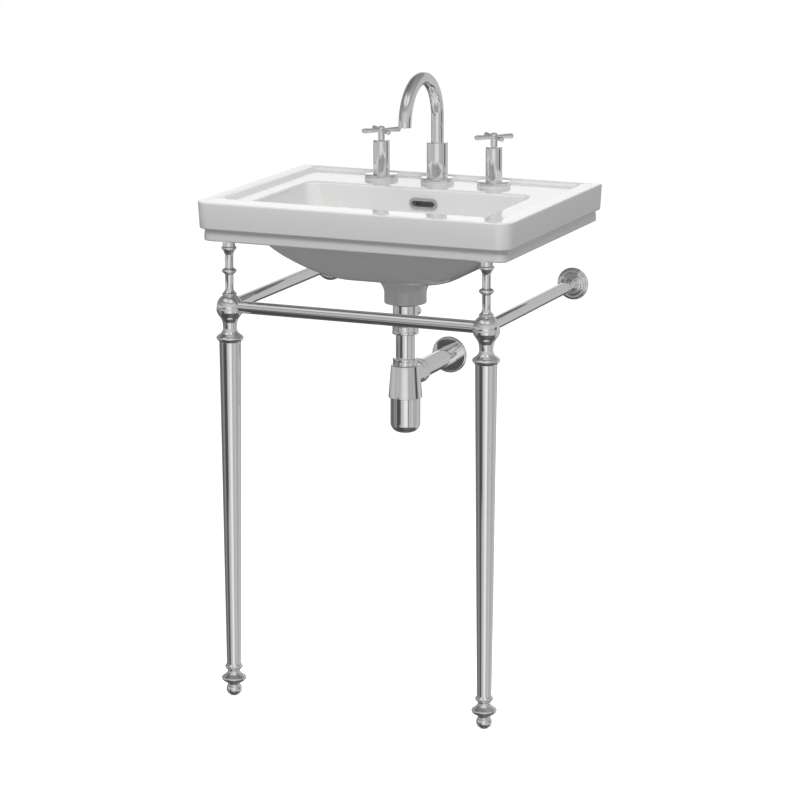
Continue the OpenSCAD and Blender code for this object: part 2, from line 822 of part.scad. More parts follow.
module trap_bottle() {
    inner_r = bottle_neck_r - bottle_t;
    color("silver")
    translate([0, drain_y, bottle_foot_z])
        difference() {
            union() {
                turned(concat(
                    arc(bottle_r - bottle_round, bottle_round, bottle_round, -90, 0, 12),
                    [[bottle_r, bottle_top_z - bottle_foot_z]]
                ));
                cylinder(r = bottle_neck_r, h = bottle_top_z - bottle_foot_z + thread_h);
            }
            translate([0, 0, bottle_t])
                turned(concat(
                    arc(inner_r - bottle_round, bottle_round, bottle_round, -90, 0, 12),
                    [[inner_r, bottle_h + skirt_h + thread_h]]
                ));
        }
}

// The four rubber rings of the trap, each a separate solid
module trap_seals() {
    color("dimgray")
    translate([0, drain_y, 0]) {
        translate([0, 0, collar_z + collar_t]) tube(collar_r, pipe_bore_r + fit_gap, seal_t);
        translate([0, 0, top_nut_z + trap_neck_h])
            tube(trap_neck_r - fit_gap, pipe_r + fit_gap, 2 * seal_t);
        translate([0, 0, bottle_top_z]) tube(bottle_r, bottle_neck_r + fit_gap, seal_t);
        translate([0, branch_end, outlet_z]) to_wall() tube(branch_r, pipe_r + fit_gap, 2 * seal_t);
    }
}

module trap_outlet_nut() {
    color("silver")
    translate([0, drain_y + outlet_nut_reach, outlet_z])
        rotate([90, 0, 0])
            fluted_nut(outlet_nut_r, outlet_nut_l, pipe_r + fit_gap, branch_r + fit_gap, nut_lip);
}

module trap_outlet_pipe() {
    start = drain_y + outlet_pipe_start + fit_gap;
    color("silver")
    translate([0, start, outlet_z]) to_wall() tube(pipe_r, pipe_bore_r, wall_y - start);
}

module trap_rosette() {
    color("silver")
    translate([0, wall_y, outlet_z])
        rotate([90, 0, 0])
            difference() {
                turned(concat(
                    [[rosette_r, 0]],
                    arc(rosette_r - rosette_round, rosette_t - rosette_round, rosette_round, 0, 90, 4)
                ));
                translate([0, 0, -over]) cylinder(r = pipe_r + fit_gap, h = rosette_t + 2 * over);
            }
}

// Puts a piece on the ledge at one of the three tap holes
module at_tap(x) {
    translate([x, tap_y, ledge_z]) children();
}

module tap_flange(x, bore_r) {
    color("silver")
    at_tap(x)
        difference() {
            turned(concat(
                [[tap_flange_r - flange_round / 2, 0], [tap_flange_r, flange_round]],
                arc(tap_flange_r - flange_round, tap_flange_t - flange_round, flange_round, 0, 90, 4)
            ));
            translate([0, 0, -over]) cylinder(r = bore_r, h = tap_flange_t + 2 * over);
            translate([0, 0, -over]) cylinder(r = tap_flange_r - gasket_in, h = gasket_t + over);
        }
}

module tap_gaskets() {
    color("dimgray")
    for (x = tap_places)
        at_tap(x) tube(tap_flange_r - gasket_in - fit_gap, tap_hole_r + fit_gap, gasket_t);
}

module tap_washers() {
    color("dimgray")
    for (x = tap_places)
        at_tap(x)
            translate([0, 0, -deck_t - washer_t]) tube(washer_r, shank_r + fit_gap, washer_t);
}

module tap_backnuts() {
    color("goldenrod")
    for (x = tap_places)
        at_tap(x)
            translate([0, 0, -deck_t - washer_t - backnut_h])
                difference() {
                    cylinder(r = backnut_r, h = backnut_h, $fn = 6);
                    translate([0, 0, -over])
                        cylinder(r = shank_r + fit_gap, h = backnut_h + 2 * over);
                }
}

// A side port that points along X, for the pipe that links a valve to the spout
module nipple() {
    translate([0, 0, -port_drop]) rotate([0, 90, 0]) cylinder(r = nipple_r, h = nipple_reach);
}

module nipple_bore() {
    translate([0, 0, -port_drop]) rotate([0, 90, 0]) {
        cylinder(r = link_bore_r, h = nipple_reach + over);
        translate([0, 0, nipple_reach - link_nut_l / 2])
            cylinder(r = link_pipe_r + fit_gap, h = link_nut_l);
    }
}

// The valve body: a threaded shank with the water inlet at its foot and a side port
module valve() {
    difference() {
        union() {
            translate([0, 0, -shank_l]) cylinder(r = shank_r, h = shank_l + valve_top);
            translate([0, 0, -shank_l - inlet_l]) cylinder(r = inlet_r, h = inlet_l + over);
            nipple();
        }
        translate([0, 0, -shank_l - inlet_l - over])
            cylinder(r = water_bore_r, h = shank_l + inlet_l + valve_top);
        translate([0, 0, cartridge_foot]) cylinder(r = valve_bore_r, h = valve_top);
        nipple_bore();
    }
}

module tap_body() {
    difference() {
        translate([0, 0, tap_flange_t])
            turned(concat(
                [[tap_body_r, 0]],
                arc(tap_body_r - tap_round, tap_body_h - tap_round, tap_round, 0, 90)
            ));
        translate([0, 0, tap_flange_t - over])
            cylinder(r = shank_r + fit_gap, h = valve_top - tap_flange_t + over + fit_gap);
        translate([0, 0, tap_flange_t])
            cylinder(r = cartridge_r + fit_gap, h = cartridge_top - tap_flange_t + fit_gap);
        cylinder(r = neck_r, h = body_top + over);
    }
}

module cartridge() {
    translate([0, 0, cartridge_foot])
        difference() {
            cylinder(r = cartridge_r, h = cartridge_top - cartridge_foot);
            translate([0, 0, stem_foot - cartridge_foot - face_gap])
                cylinder(r = stem_r + run_gap, h = cartridge_top);
        }
}

module stem() {
    translate([0, 0, stem_foot]) cylinder(r = stem_r, h = stem_top - stem_foot);
}

// Cross handle: a neck, a hub and four arms that swell to round ends
module handle() {
    difference() {
        union() {
            translate([0, 0, handle_foot])
                turned(concat(
                    [[neck_r, 0]],
                    arc(neck_r - hub_round, hub_top - handle_foot - hub_round, hub_round, 0, 90, 4)
                ));
            for (i = [0:3])
                translate([0, 0, cross_z]) rotate([0, 90, 45 + 90 * i]) {
                    cylinder(r1 = arm_root_r, r2 = arm_tip_r, h = arm_reach - arm_tip_r);
                    translate([0, 0, arm_reach - arm_tip_r]) sphere(r = arm_tip_r);
                }
        }
        translate([0, 0, handle_foot - over])
            cylinder(r = stem_r + fit_gap, h = stem_top - handle_foot + over + fit_gap);
    }
}

module cap() {
    translate([0, 0, hub_top])
        turned([[cap_r, 0], [cap_r, cap_h / 2], [cap_r - cap_h / 2, cap_h]]);
}

module hot_flange() { tap_flange(-tap_pitch, flange_bore_r); }
module cold_flange() { tap_flange(tap_pitch, flange_bore_r); }
module spout_flange() { tap_flange(0, flange_bore_r); }
module hot_valve() { color("goldenrod") at_tap(-tap_pitch) valve(); }
module cold_valve() { color("goldenrod") at_tap(tap_pitch) mirror([1, 0, 0]) valve(); }
module hot_body() { color("silver") at_tap(-tap_pitch) tap_body(); }
module cold_body() { color("silver") at_tap(tap_pitch) tap_body(); }
module tap_cartridges() { color("goldenrod") both_sides() at_tap(tap_pitch) cartridge(); }
module hot_stem() { color("goldenrod") at_tap(-tap_pitch) stem(); }
module cold_stem() { color("goldenrod") at_tap(tap_pitch) stem(); }
module hot_handle() { color("silver") at_tap(-tap_pitch) handle(); }
module cold_handle() { color("silver") at_tap(tap_pitch) handle(); }
module hot_cap() { color("silver") at_tap(-tap_pitch) cap(); }
module cold_cap() { color("silver") at_tap(tap_pitch) cap(); }

module link_pipe() {
    start = nipple_reach - link_nut_l / 2 + fit_gap;
    translate([start, 0, -port_drop])
        rotate([0, 90, 0]) tube(link_pipe_r, link_bore_r, tap_pitch - 2 * start);
}

module link_pipes() { color("silver") both_sides() at_tap(0) link_pipe(); }

module link_nuts() {
    color("goldenrod")
    for (x = [-tap_pitch, 0])
        for (far = [0, 1])
            at_tap(x + far * tap_pitch)
                mirror([far, 0, 0])
                    translate([nipple_reach - link_nut_l / 2, 0, -port_drop])
                        rotate([0, 90, 0])
                            difference() {
                                cylinder(r = link_nut_r, h = link_nut_l, $fn = 6);
                                translate([0, 0, -over])
                                    cylinder(r = nipple_r + fit_gap, h = link_nut_l / 2 + over + fit_gap);
                                cylinder(r = link_pipe_r + fit_gap, h = link_nut_l + over);
                            }
}

module spout_shank() {
    color("goldenrod")
    at_tap(0)
        difference() {
            union() {
                translate([0, 0, -shank_l]) cylinder(r = shank_r, h = shank_l + spout_shank_top);
                both_sides() nipple();
            }
            translate([0, 0, -port_drop])
                cylinder(r = spout_bore_r, h = port_drop + spout_shank_top + over);
            both_sides() nipple_bore();
        }
}

module spout_base() {
    color("silver")
    at_tap(0)
        difference() {
            translate([0, 0, tap_flange_t]) cylinder(r = spout_base_r, h = spout_base_h);
            cylinder(r = shank_r + fit_gap, h = spout_shank_top + fit_gap);
            cylinder(r = spout_bore_r, h = spout_seat + over);
            translate([0, 0, spout_seat])
                cylinder(r = spout_r + run_gap, h = tap_flange_t + spout_base_h);
        }
}

module spout_tube() {
    color("silver")
    at_tap(0) {
        difference() {
            translate([0, 0, spout_foot]) tube(spout_r, spout_bore_r, outlet_h - spout_foot);
            for (share = groove_up_shares)
                translate([0, 0, spout_foot + share * (tap_flange_t + spout_base_h - spout_foot)])
                    tube(2 * spout_r, groove_r, groove_h);
        }
        translate([0, -2 * spout_bend_r, outlet_h - spout_tip_l])
            tube(spout_r, spout_bore_r, spout_tip_l);
        translate([0, -spout_bend_r, outlet_h])
            rotate([90, 0, 90])
                rotate_extrude(angle = 180)
                    translate([spout_bend_r, 0])
                        difference() {
                            circle(r = spout_r);
                            circle(r = spout_bore_r);
                        }
    }
}

module spout_rings() {
    color("dimgray")
    at_tap(0)
        for (share = groove_up_shares)
            translate([0, 0, spout_foot + share * (tap_flange_t + spout_base_h - spout_foot) + fit_gap])
                tube(spout_r, groove_r + fit_gap / 2, groove_h - 2 * fit_gap);
}

module spout_aerator() {
    color("dimgray")
    at_tap(0)
        translate([0, -2 * spout_bend_r, outlet_h - spout_tip_l + fit_gap])
            difference() {
                cylinder(r = aerator_r, h = aerator_h);
                for (i = [0:aerator_holes - 1])
                    rotate([0, 0, 360 * i / aerator_holes])
                        translate([aerator_ring_share * aerator_r, 0, -over])
                            cylinder(r = aerator_hole_r, h = aerator_h + 2 * over, $fn = 24);
            }
}

module leg_pads() {
    color("dimgray")
    both_sides()
        translate([leg_x, leg_y, spindle_top_z])
            cylinder(r = spindle_ring_r * spindle_shares[len(spindle_shares) - 1][0], h = pad_t);
}

module spindle(x) {
    color("silver")
    translate([x, leg_y, ball_top_z])
        difference() {
            turned(sized(spindle_shares, spindle_ring_r, spindle_h));
            translate([0, 0, -over]) cylinder(r = rod_r + fit_gap, h = rod_in_spindle + over + fit_gap);
        }
}

// The ball where the rails meet, with a socket to the middle and one to the wall
module ball(side) {
    tail = sized(ball_tail_shares, ball_r, ball_r);
    last = len(ball_tail_shares) - 1;
    color("silver")
    translate([side * leg_x, leg_y, rail_h])
        difference() {
            turned(concat(
                [for (i = [last:-1:0]) tail[i]],
                arc(0, 0, ball_r, ball_low_angle, asin(ball_top_share), 14)
            ));
            translate([0, 0, -2 * ball_r]) cylinder(r = rod_r + fit_gap, h = 4 * ball_r);
            rotate([0, -90 * side, 0]) rail_socket();
            to_wall() rail_socket();
        }
}

module rail_socket() {
    translate([0, 0, socket_end - fit_gap]) cylinder(r = rail_r + fit_gap, h = ball_r);
}

// A hole through a leg's piece for the threaded tie rod
module rod_hole(z, h) {
    translate([0, 0, z]) cylinder(r = rod_r + fit_gap, h = h);
}

// The turned capital on top of a leg tube, with a spigot down into the tube
module capital(side) {
    color("silver")
    translate([side * leg_x, leg_y, capital_foot_z])
        difference() {
            union() {
                turned(sized(capital_shares, capital_r, capital_h));
                translate([0, 0, -spigot_l])
                    cylinder(r = tube_top_r - tube_t - 2 * fit_gap, h = spigot_l + over);
            }
            rod_hole(-spigot_l - over, capital_h + spigot_l + 2 * over);
        }
}

module leg_tube(side) {
    h = capital_foot_z - foot_h;
    color("silver")
    translate([side * leg_x, leg_y, foot_h])
        difference() {
            cylinder(r1 = tube_foot_r, r2 = tube_top_r, h = h);
            translate([0, 0, -over])
                cylinder(r1 = tube_foot_r - tube_t, r2 = tube_top_r - tube_t, h = h + 2 * over);
        }
}

// The turned foot, with a spigot up into the tube
module foot(side) {
    color("silver")
    translate([side * leg_x, leg_y, 0])
        difference() {
            union() {
                turned(sized(foot_shares, foot_r, foot_h));
                translate([0, 0, foot_h - over])
                    cylinder(r = tube_foot_r - tube_t - fit_gap, h = spigot_l + over);
            }
            rod_hole(foot_h - rod_in_foot - fit_gap, rod_in_foot + spigot_l + over);
        }
}

module leg_tie_rods() {
    foot = foot_h - rod_in_foot;
    color("gray")
    both_sides()
        translate([leg_x, leg_y, foot]) cylinder(r = rod_r, h = ball_top_z + rod_in_spindle - foot);
}

module left_spindle() { spindle(-leg_x); }
module right_spindle() { spindle(leg_x); }
module left_ball() { ball(-1); }
module right_ball() { ball(1); }
module left_capital() { capital(-1); }
module right_capital() { capital(1); }
module left_leg_tube() { leg_tube(-1); }
module right_leg_tube() { leg_tube(1); }
module left_foot() { foot(-1); }
module right_foot() { foot(1); }

module front_rail() {
    l = 2 * (leg_x - socket_end);
    color("silver")
    translate([-l / 2, leg_y, rail_h]) rotate([0, 90, 0]) tube(rail_r, rail_bore_r, l);
}

module side_rail(side) {
    color("silver")
    translate([side * leg_x, leg_y + socket_end, rail_h])
        to_wall() tube(rail_r, rail_bore_r, side_rail_l);
}

module left_rail() { side_rail(-1); }
module right_rail() { side_rail(1); }

// Round stepped flange with a dished face and a stepped boss whose spigot enters the rail
module wall_flange(side) {
    color("silver")
    translate([side * leg_x, wall_y, rail_h])
        rotate([90, 0, 0])
            difference() {
                turned(concat(
                    sized(flange_shares, flange_r, flange_t),
                    sized(boss_step_shares, flange_r, flange_boss_h),
                    [[spigot_r, flange_boss_h], [spigot_r, rail_gap + spigot_in]]
                ));
                translate([0, 0, -over])
                    cylinder(r = plate_r + fit_gap, h = plate_t + fit_gap + over);
                cylinder(r = plate_stud_r + fit_gap, h = plate_t + plate_stud_l + fit_gap);
            }
}

module left_wall_flange() { wall_flange(-1); }
module right_wall_flange() { wall_flange(1); }

module wall_plates() {
    color("gray")
    both_sides()
        translate([leg_x, wall_y, rail_h])
            rotate([90, 0, 0])
                difference() {
                    union() {
                        cylinder(r = plate_r, h = plate_t);
                        cylinder(r = plate_stud_r, h = plate_t + plate_stud_l);
                    }
                    for (v = [-plate_pitch / 2, plate_pitch / 2])
                        translate([0, v, -over]) cylinder(r = plate_hole_r, h = plate_t + 2 * over);
                }
}

basin();
overflow_ring();
waste_body();
waste_seals();
waste_tail();
waste_port_nut();
waste_plug();
plug_seal();
plug_guide();
trap_inlet_nut();
trap_inlet_pipe();
trap_top_nut();
trap_body();
trap_bottle();
trap_seals();
trap_outlet_nut();
trap_outlet_pipe();
trap_rosette();
hot_flange();
cold_flange();
spout_flange();
tap_gaskets();
tap_washers();
tap_backnuts();
hot_valve();
cold_valve();
hot_body();
cold_body();
tap_cartridges();
hot_stem();
cold_stem();
hot_handle();
cold_handle();
hot_cap();
cold_cap();
link_pipes();
link_nuts();
spout_base();
spout_shank();
spout_tube();
spout_rings();
spout_aerator();
leg_pads();
left_spindle();
right_spindle();
left_ball();
right_ball();
left_capital();
right_capital();
left_leg_tube();
right_leg_tube();
left_foot();
right_foot();
leg_tie_rods();
front_rail();
left_rail();
right_rail();
left_wall_flange();
right_wall_flange();
wall_plates();
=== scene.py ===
import json
import math

import bmesh
import bpy
from mathutils import Matrix, Vector


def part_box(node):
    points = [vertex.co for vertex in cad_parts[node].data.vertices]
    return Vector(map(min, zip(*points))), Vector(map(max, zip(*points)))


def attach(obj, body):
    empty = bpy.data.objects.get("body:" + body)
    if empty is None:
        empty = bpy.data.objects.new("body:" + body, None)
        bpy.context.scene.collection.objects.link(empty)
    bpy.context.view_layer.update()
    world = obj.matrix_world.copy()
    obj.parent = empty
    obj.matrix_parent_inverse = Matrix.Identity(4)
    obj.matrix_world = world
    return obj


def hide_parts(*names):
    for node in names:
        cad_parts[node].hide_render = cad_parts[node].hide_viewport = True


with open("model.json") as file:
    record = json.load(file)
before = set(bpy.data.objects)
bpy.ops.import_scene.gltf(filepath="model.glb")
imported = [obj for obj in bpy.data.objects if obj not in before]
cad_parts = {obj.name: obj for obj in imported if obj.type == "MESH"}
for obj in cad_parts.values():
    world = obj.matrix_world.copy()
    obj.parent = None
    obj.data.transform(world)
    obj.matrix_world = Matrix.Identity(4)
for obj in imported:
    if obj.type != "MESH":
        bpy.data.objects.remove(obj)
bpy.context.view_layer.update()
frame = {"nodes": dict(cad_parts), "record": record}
MM = 0.001
QUARTER = math.pi / 2

# Sizes of the basin that the CAD box doesn't give, in metres
UPPER_BAND = 45 * MM
LOWER_BAND = 20.5 * MM
BAND_STEP = 10 * MM
BAND_DRAFT = 2.5 * MM
CORNER_R = 27 * MM
BACK_R = 2 * MM
APRON_T = 12 * MM
DECK_T = 12 * MM
RIM_SIDE = 29 * MM
RIM_BACK = 14 * MM
RIM_FRONT = 49 * MM
COVE_RUN = 12 * MM
LEDGE_DROP = 5.5 * MM
BOWL_W = 412 * MM
BOWL_D = 238 * MM
BOWL_FRONT = 64 * MM
BOWL_DEPTH = 123 * MM
BOWL_R = 22 * MM
BOWL_T = 12 * MM
WAIST_IN = 13 * MM
FLOOR_W = 160 * MM
FLOOR_D = 132 * MM
DRAIN_WALL = 201.5 * MM
FLOOR_AHEAD = 19 * MM
BOSS_R = 36 * MM
BOSS_FLARE = 24 * MM
BOSS_FLARE_H = 33 * MM
DRAIN_R = 22.5 * MM
SEAT_R = 32.5 * MM
SEAT_DROP = 3 * MM
BOWL_POWER = 1.31
WAIST_BACK = WAIST_IN / 4
WAIST_R = 3 * BOWL_T
FLOOR_R = 2 * BOWL_T

# Overflow slot and duct, pads for the legs, and the wall bolts' pads and holes
SLOT_W = 41 * MM
SLOT_H = 10 * MM
SLOT_DROP = 25 * MM
DUCT_T = 9 * MM
DUCT_WALL = 6 * MM
DUCT_W = SLOT_W + SLOT_H / 2
LEG_PAD_R = 22.9 * MM
BOLT_X = 140 * MM
BOLT_DROP = 42 * MM
BOLT_HOLE_R = 7 * MM
BOLT_PAD_W = 6 * BOLT_HOLE_R
BOLT_PAD_T = 12 * MM

# Roundings of the basin's edges, and where its curves start
SEAT_EDGE = 1.5 * MM
DRAIN_EDGE_UP = 6 * MM
MOUTH_LIP = 3 * MM
LIP_START = 0.05
COVE_OVERRUN = 1.15
RIM_EDGE_R = 2 * MM
RIM_LEAN = 0.1 * MM
BAND_EDGE_R = 3 * MM
STEP_LEAN = 0.5 * MM
CAVETTO_R = 3 * MM
CAVETTO_SWEEP = CAVETTO_R / 3
NECK_ROUND = 4 * MM
NECK_START = 0.2
NECK_END = 0.27
BOSS_LEAN = 1 * MM
BOSS_CHAMFER = 2 * MM

# Rows of points along the basin's surfaces and round its corners
FLOOR_ROWS = 5
BOWL_ROWS = 22
WAIST_ROWS = 5
LEDGE_ROWS = 6
COVE_ROWS = 10
BAND_ROWS = 7
DECK_ROWS = 3
SKIRT_ROWS = 4
SHELL_ROWS = 4
CORNER_STEPS = 4
SEAT_STEPS = 3
EDGE_STEPS = 5
LIP_STEPS = 6
FLARE_STEPS = 12
HOLE_SIDES = 48
WELD = 1e-6
WELD_DIGITS = 7

# Sizes of the chrome pieces that their boxes don't give
TUBE_FOOT_R = 11.9 * MM
CONE_TOP_R = 24.6 * MM
BOTTLE_ROUND = 16 * MM
PORT_R = 5.5 * MM
PORT_REACH = 53 * MM
PORT_NUT_L = 9 * MM
NUT_LIP = 4.5 * MM
NUT_WAIST = 0.8 * MM
ROSETTE_ROUND = 3 * MM
TAP_FLANGE_FALL = 0.6 * MM
CROSS_UP = 17 * MM
BODY_ROUND = 3 * MM
NECK_R = 6 * MM
HUB_ROUND = 1 * MM
ARM_ROOT_R = 2.8 * MM
ARM_TIP_R = 4.3 * MM
ARM_REACH = 36.2 * MM
SPOUT_T = 1.5 * MM
SPOUT_GAP = 0.1 * MM
SPOUT_TIP_L = 2 * MM
BEND_STEPS = 64
RING_PROUD = 1.6 * MM
RING_W = 5.5 * MM
RING_T = 1 * MM
TAP_FLANGE_FLAT = 0.6
CROSS_ARMS = 4
BALL_STEPS = 20
BOTTLE_STEPS = 16
ROSETTE_STEPS = 12
ARM_STEPS = 10
BODY_STEPS = 8
HUB_STEPS = 6

# Looks of the materials
NOISE_RANGE = (0.3, 0.7)
NOISE_ROUGH = 0.5
PLAIN_DETAIL = 2.0
TONE_DETAIL = 3.0
GRAIN_DETAIL = 4.0
GRAIN_SCALE = 400.0
GRAIN = 0.2
FINE_H = 0.2 * MM
GLAZE_DARK = (0.79, 0.79, 0.785)
GLAZE_LIGHT = (0.81, 0.81, 0.805)
GLAZE_TONE_SCALE = 9.0
GLAZE_WAVE_SCALE = 22.0
GLAZE_WAVE_DETAIL = 1.5
GLAZE_WAVE = 0.12
GLAZE_WAVE_H = 0.6 * MM
GLAZE_SPECK_SCALE = 300.0
GLAZE_ROUGH = (0.10, 0.16)
GLAZE_IOR = 1.5
GLAZE_COAT = 0.6
GLAZE_COAT_ROUGH = 0.04
METALS = {
    "chrome": {"first": (0.86, 0.865, 0.87), "second": (0.90, 0.90, 0.905),
               "rough": (0.03, 0.05), "scale": 60.0, "wave": 0.0},
    "brass": {"first": (0.70, 0.54, 0.27), "second": (0.80, 0.64, 0.34),
              "rough": (0.22, 0.34), "scale": 120.0, "wave": 0.2},
    "steel": {"first": (0.52, 0.53, 0.54), "second": (0.62, 0.63, 0.64),
              "rough": (0.30, 0.42), "scale": 150.0, "wave": 0.2},
}
SOFT_LOOKS = {
    "rubber": {"first": (0.02, 0.02, 0.02), "second": (0.045, 0.045, 0.045), "rough": 0.7},
    "plastic": {"first": (0.10, 0.10, 0.10), "second": (0.15, 0.15, 0.15), "rough": 0.5},
}

# Sockets of a colour mix node
MIX_FACTOR = 0
MIX_A = 6
MIX_B = 7
MIX_RESULT = 2

# Camera, lamp and studio; angles in degrees, the sensor and the lens in millimetres
CAMERA_PLACE = (2.1159, -5.0195, 1.75)
CAMERA_YAW = 22.87
CAMERA_PITCH = 12.95
SENSOR_W = 36
LENS = 147.68
CLIP_END = 50
LAMP_PLACE = (0.68, -1.9, 3.5)
LAMP_TARGET = (0, 0, 0.85)
LAMP_SIZE = 2
LAMP_WATTS = 90
WHITE = (1, 1, 1, 1)
FLOOR_HALF = 6
FLOOR_CELLS = 8
FLOOR_WHITE = (0.9, 0.9, 0.9, 1)
FLOOR_ROUGH = 0.9
FLOOR_GLOW = 0.72
AMBIENT = 0.325
DOME_CENTRE = Vector((0, 0, 0.5))
DOME_REACH = 9
DOME_STEP = 2
FULL_TURN = 360

# Places shared by the pieces, from the CAD frame
basin_low, basin_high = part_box("basin")
RIM_Z = basin_high.z
FRONT_Y = basin_low.y
WALL_Y = basin_high.y
HALF_W = basin_high.x
BOSS_Z = basin_low.z
LEDGE_Z = RIM_Z - LEDGE_DROP
DECK_Z = LEDGE_Z - DECK_T
BAND_Z = RIM_Z - UPPER_BAND
UNDER_Z = BAND_Z - LOWER_BAND
FLOOR_Z = LEDGE_Z - BOWL_DEPTH
DRAIN_Y = WALL_Y - DRAIN_WALL
MOUTH_Y0 = FRONT_Y + BOWL_FRONT
MOUTH_Y1 = MOUTH_Y0 + BOWL_D
DUCT_Y = MOUTH_Y1 + BOWL_T
SLOT_Z = LEDGE_Z - SLOT_DROP
BOLT_Z = RIM_Z - BOLT_DROP


def node_tree(name):
    """A new node material with its principled shader."""
    mat = bpy.data.materials.new(name)
    mat.use_nodes = True
    nodes = mat.node_tree.nodes
    return mat, mat.node_tree, nodes["Principled BSDF"]


def noise(tree, scale, detail=PLAIN_DETAIL):
    """A noise texture in the object's own coordinates."""
    place = tree.nodes.new("ShaderNodeTexCoord")
    tex = tree.nodes.new("ShaderNodeTexNoise")
    tex.inputs["Scale"].default_value = scale
    tex.inputs["Detail"].default_value = detail
    tex.inputs["Roughness"].default_value = NOISE_ROUGH
    tree.links.new(place.outputs["Object"], tex.inputs["Vector"])
    return tex


def ramp(tree, source, span):
    """Maps a noise's usual range to another span."""
    node = tree.nodes.new("ShaderNodeMapRange")
    ends = ("From Min", "From Max", "To Min", "To Max")
    for name, value in zip(ends, (*NOISE_RANGE, *span)):
        node.inputs[name].default_value = value
    tree.links.new(source, node.inputs["Value"])
    return node.outputs["Result"]


def two_tone(tree, factor, first, second):
    """Mixes two colours by a factor."""
    node = tree.nodes.new("ShaderNodeMix")
    node.data_type = "RGBA"
    node.inputs[MIX_A].default_value = (*first, 1)
    node.inputs[MIX_B].default_value = (*second, 1)
    tree.links.new(factor, node.inputs[MIX_FACTOR])
    return node.outputs[MIX_RESULT]


def bump(tree, height, strength, distance):
    """Bump from a height."""
    node = tree.nodes.new("ShaderNodeBump")
    node.inputs["Strength"].default_value = strength
    node.inputs["Distance"].default_value = distance
    tree.links.new(height, node.inputs["Height"])
    return node.outputs["Normal"]


def make_glaze():
    """White glazed china: a hard clear glaze over a body with a faint unevenness."""
    mat, tree, shader = node_tree("glaze")
    tone = noise(tree, GLAZE_TONE_SCALE, TONE_DETAIL)
    colour = two_tone(tree, tone.outputs["Fac"], GLAZE_DARK, GLAZE_LIGHT)
    tree.links.new(colour, shader.inputs["Base Color"])
    wave = noise(tree, GLAZE_WAVE_SCALE, GLAZE_WAVE_DETAIL)
    tree.links.new(bump(tree, wave.outputs["Fac"], GLAZE_WAVE, GLAZE_WAVE_H),
                   shader.inputs["Normal"])
    speck = noise(tree, GLAZE_SPECK_SCALE)
    tree.links.new(ramp(tree, speck.outputs["Fac"], GLAZE_ROUGH), shader.inputs["Roughness"])
    shader.inputs["IOR"].default_value = GLAZE_IOR
    shader.inputs["Coat Weight"].default_value = GLAZE_COAT
    shader.inputs["Coat Roughness"].default_value = GLAZE_COAT_ROUGH
    return mat


def make_metal(name, first, second, rough, scale, wave):
    """Polished or plain metal with a slightly uneven polish."""
    mat, tree, shader = node_tree(name)
    shader.inputs["Metallic"].default_value = 1.0
    tone = noise(tree, scale, TONE_DETAIL)
    colour = two_tone(tree, tone.outputs["Fac"], first, second)
    tree.links.new(colour, shader.inputs["Base Color"])
    tree.links.new(ramp(tree, tone.outputs["Fac"], rough), shader.inputs["Roughness"])
    tree.links.new(bump(tree, noise(tree, scale / 2).outputs["Fac"], wave, FINE_H),
                   shader.inputs["Normal"])
    return mat


def make_soft(name, first, second, rough):
    """Rubber or moulded plastic with a fine grain."""
    mat, tree, shader = node_tree(name)
    grain = noise(tree, GRAIN_SCALE, GRAIN_DETAIL)
    colour = two_tone(tree, grain.outputs["Fac"], first, second)
    tree.links.new(colour, shader.inputs["Base Color"])
    shader.inputs["Roughness"].default_value = rough
    tree.links.new(bump(tree, grain.outputs["Fac"], GRAIN, FINE_H), shader.inputs["Normal"])
    return mat


MATERIALS = {"glaze": make_glaze()}
MATERIALS.update({name: make_metal(name, **look) for name, look in METALS.items()})
MATERIALS.update({name: make_soft(name, **look) for name, look in SOFT_LOOKS.items()})


def dress_nodes():
    """Gives every CAD node the node material of its slot."""
    for part in frame["record"]["subparts"]:
        obj = frame["nodes"][part["node"]]
        mat = MATERIALS[part["material_slot"]]
        if not obj.material_slots:
            obj.data.materials.append(mat)
        for place in obj.material_slots:
            place.material = mat


SHARP = math.radians(38)


def place_mesh(name, bm):
    """Turns a bmesh into an object of the scene."""
    mesh = bpy.data.meshes.new(name)
    bm.to_mesh(mesh)
    bm.free()
    obj = bpy.data.objects.new(name, mesh)
    bpy.context.scene.collection.objects.link(obj)
    return obj


def smooth(mesh):
    """Shades a mesh smooth, apart from its sharp edges."""
    for face in mesh.polygons:
        face.use_smooth = True
    mesh.set_sharp_from_angle(angle=SHARP)


def add_piece(name, bm, body, slot, *nodes):
    """Turns a bmesh into a named piece that rides on a body and stands for CAD nodes."""
    obj = place_mesh(name, bm)
    smooth(obj.data)
    obj.data.materials.append(MATERIALS[slot])
    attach(obj, body)
    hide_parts(*nodes)
    return obj


ARC_STEPS = 16
SIDE_STEPS = 14


def ring(half_w, y0, y1, front_r, back_r, z):
    """Points of a rounded rectangle, always the same count and order."""
    corners = [
        (half_w - front_r, y0 + front_r, front_r),
        (half_w - back_r, y1 - back_r, back_r),
        (-half_w + back_r, y1 - back_r, back_r),
        (-half_w + front_r, y0 + front_r, front_r),
    ]
    arcs = []
    for k, (x, y, r) in enumerate(corners):
        angles = [QUARTER * (k - 1 + i / ARC_STEPS) for i in range(ARC_STEPS + 1)]
        arcs.append([Vector((x + r * math.cos(a), y + r * math.sin(a), z)) for a in angles])
    points = []
    for i, bow in enumerate(arcs):
        points += bow
        a, b = bow[-1], arcs[(i + 1) % len(arcs)][0]
        points += [a.lerp(b, k / SIDE_STEPS) for k in range(1, SIDE_STEPS)]
    return points


def circle_ring(r, z):
    """A circle round the drain, as a ring."""
    return ring(r, DRAIN_Y - r, DRAIN_Y + r, r, r, z)


def inset_ring(d, z, back=0.0):
    """The basin's outline drawn in at the front and sides, and at the back by its own amount."""
    return ring(HALF_W - d, FRONT_Y + d, WALL_Y - back, CORNER_R - d, BACK_R, z)


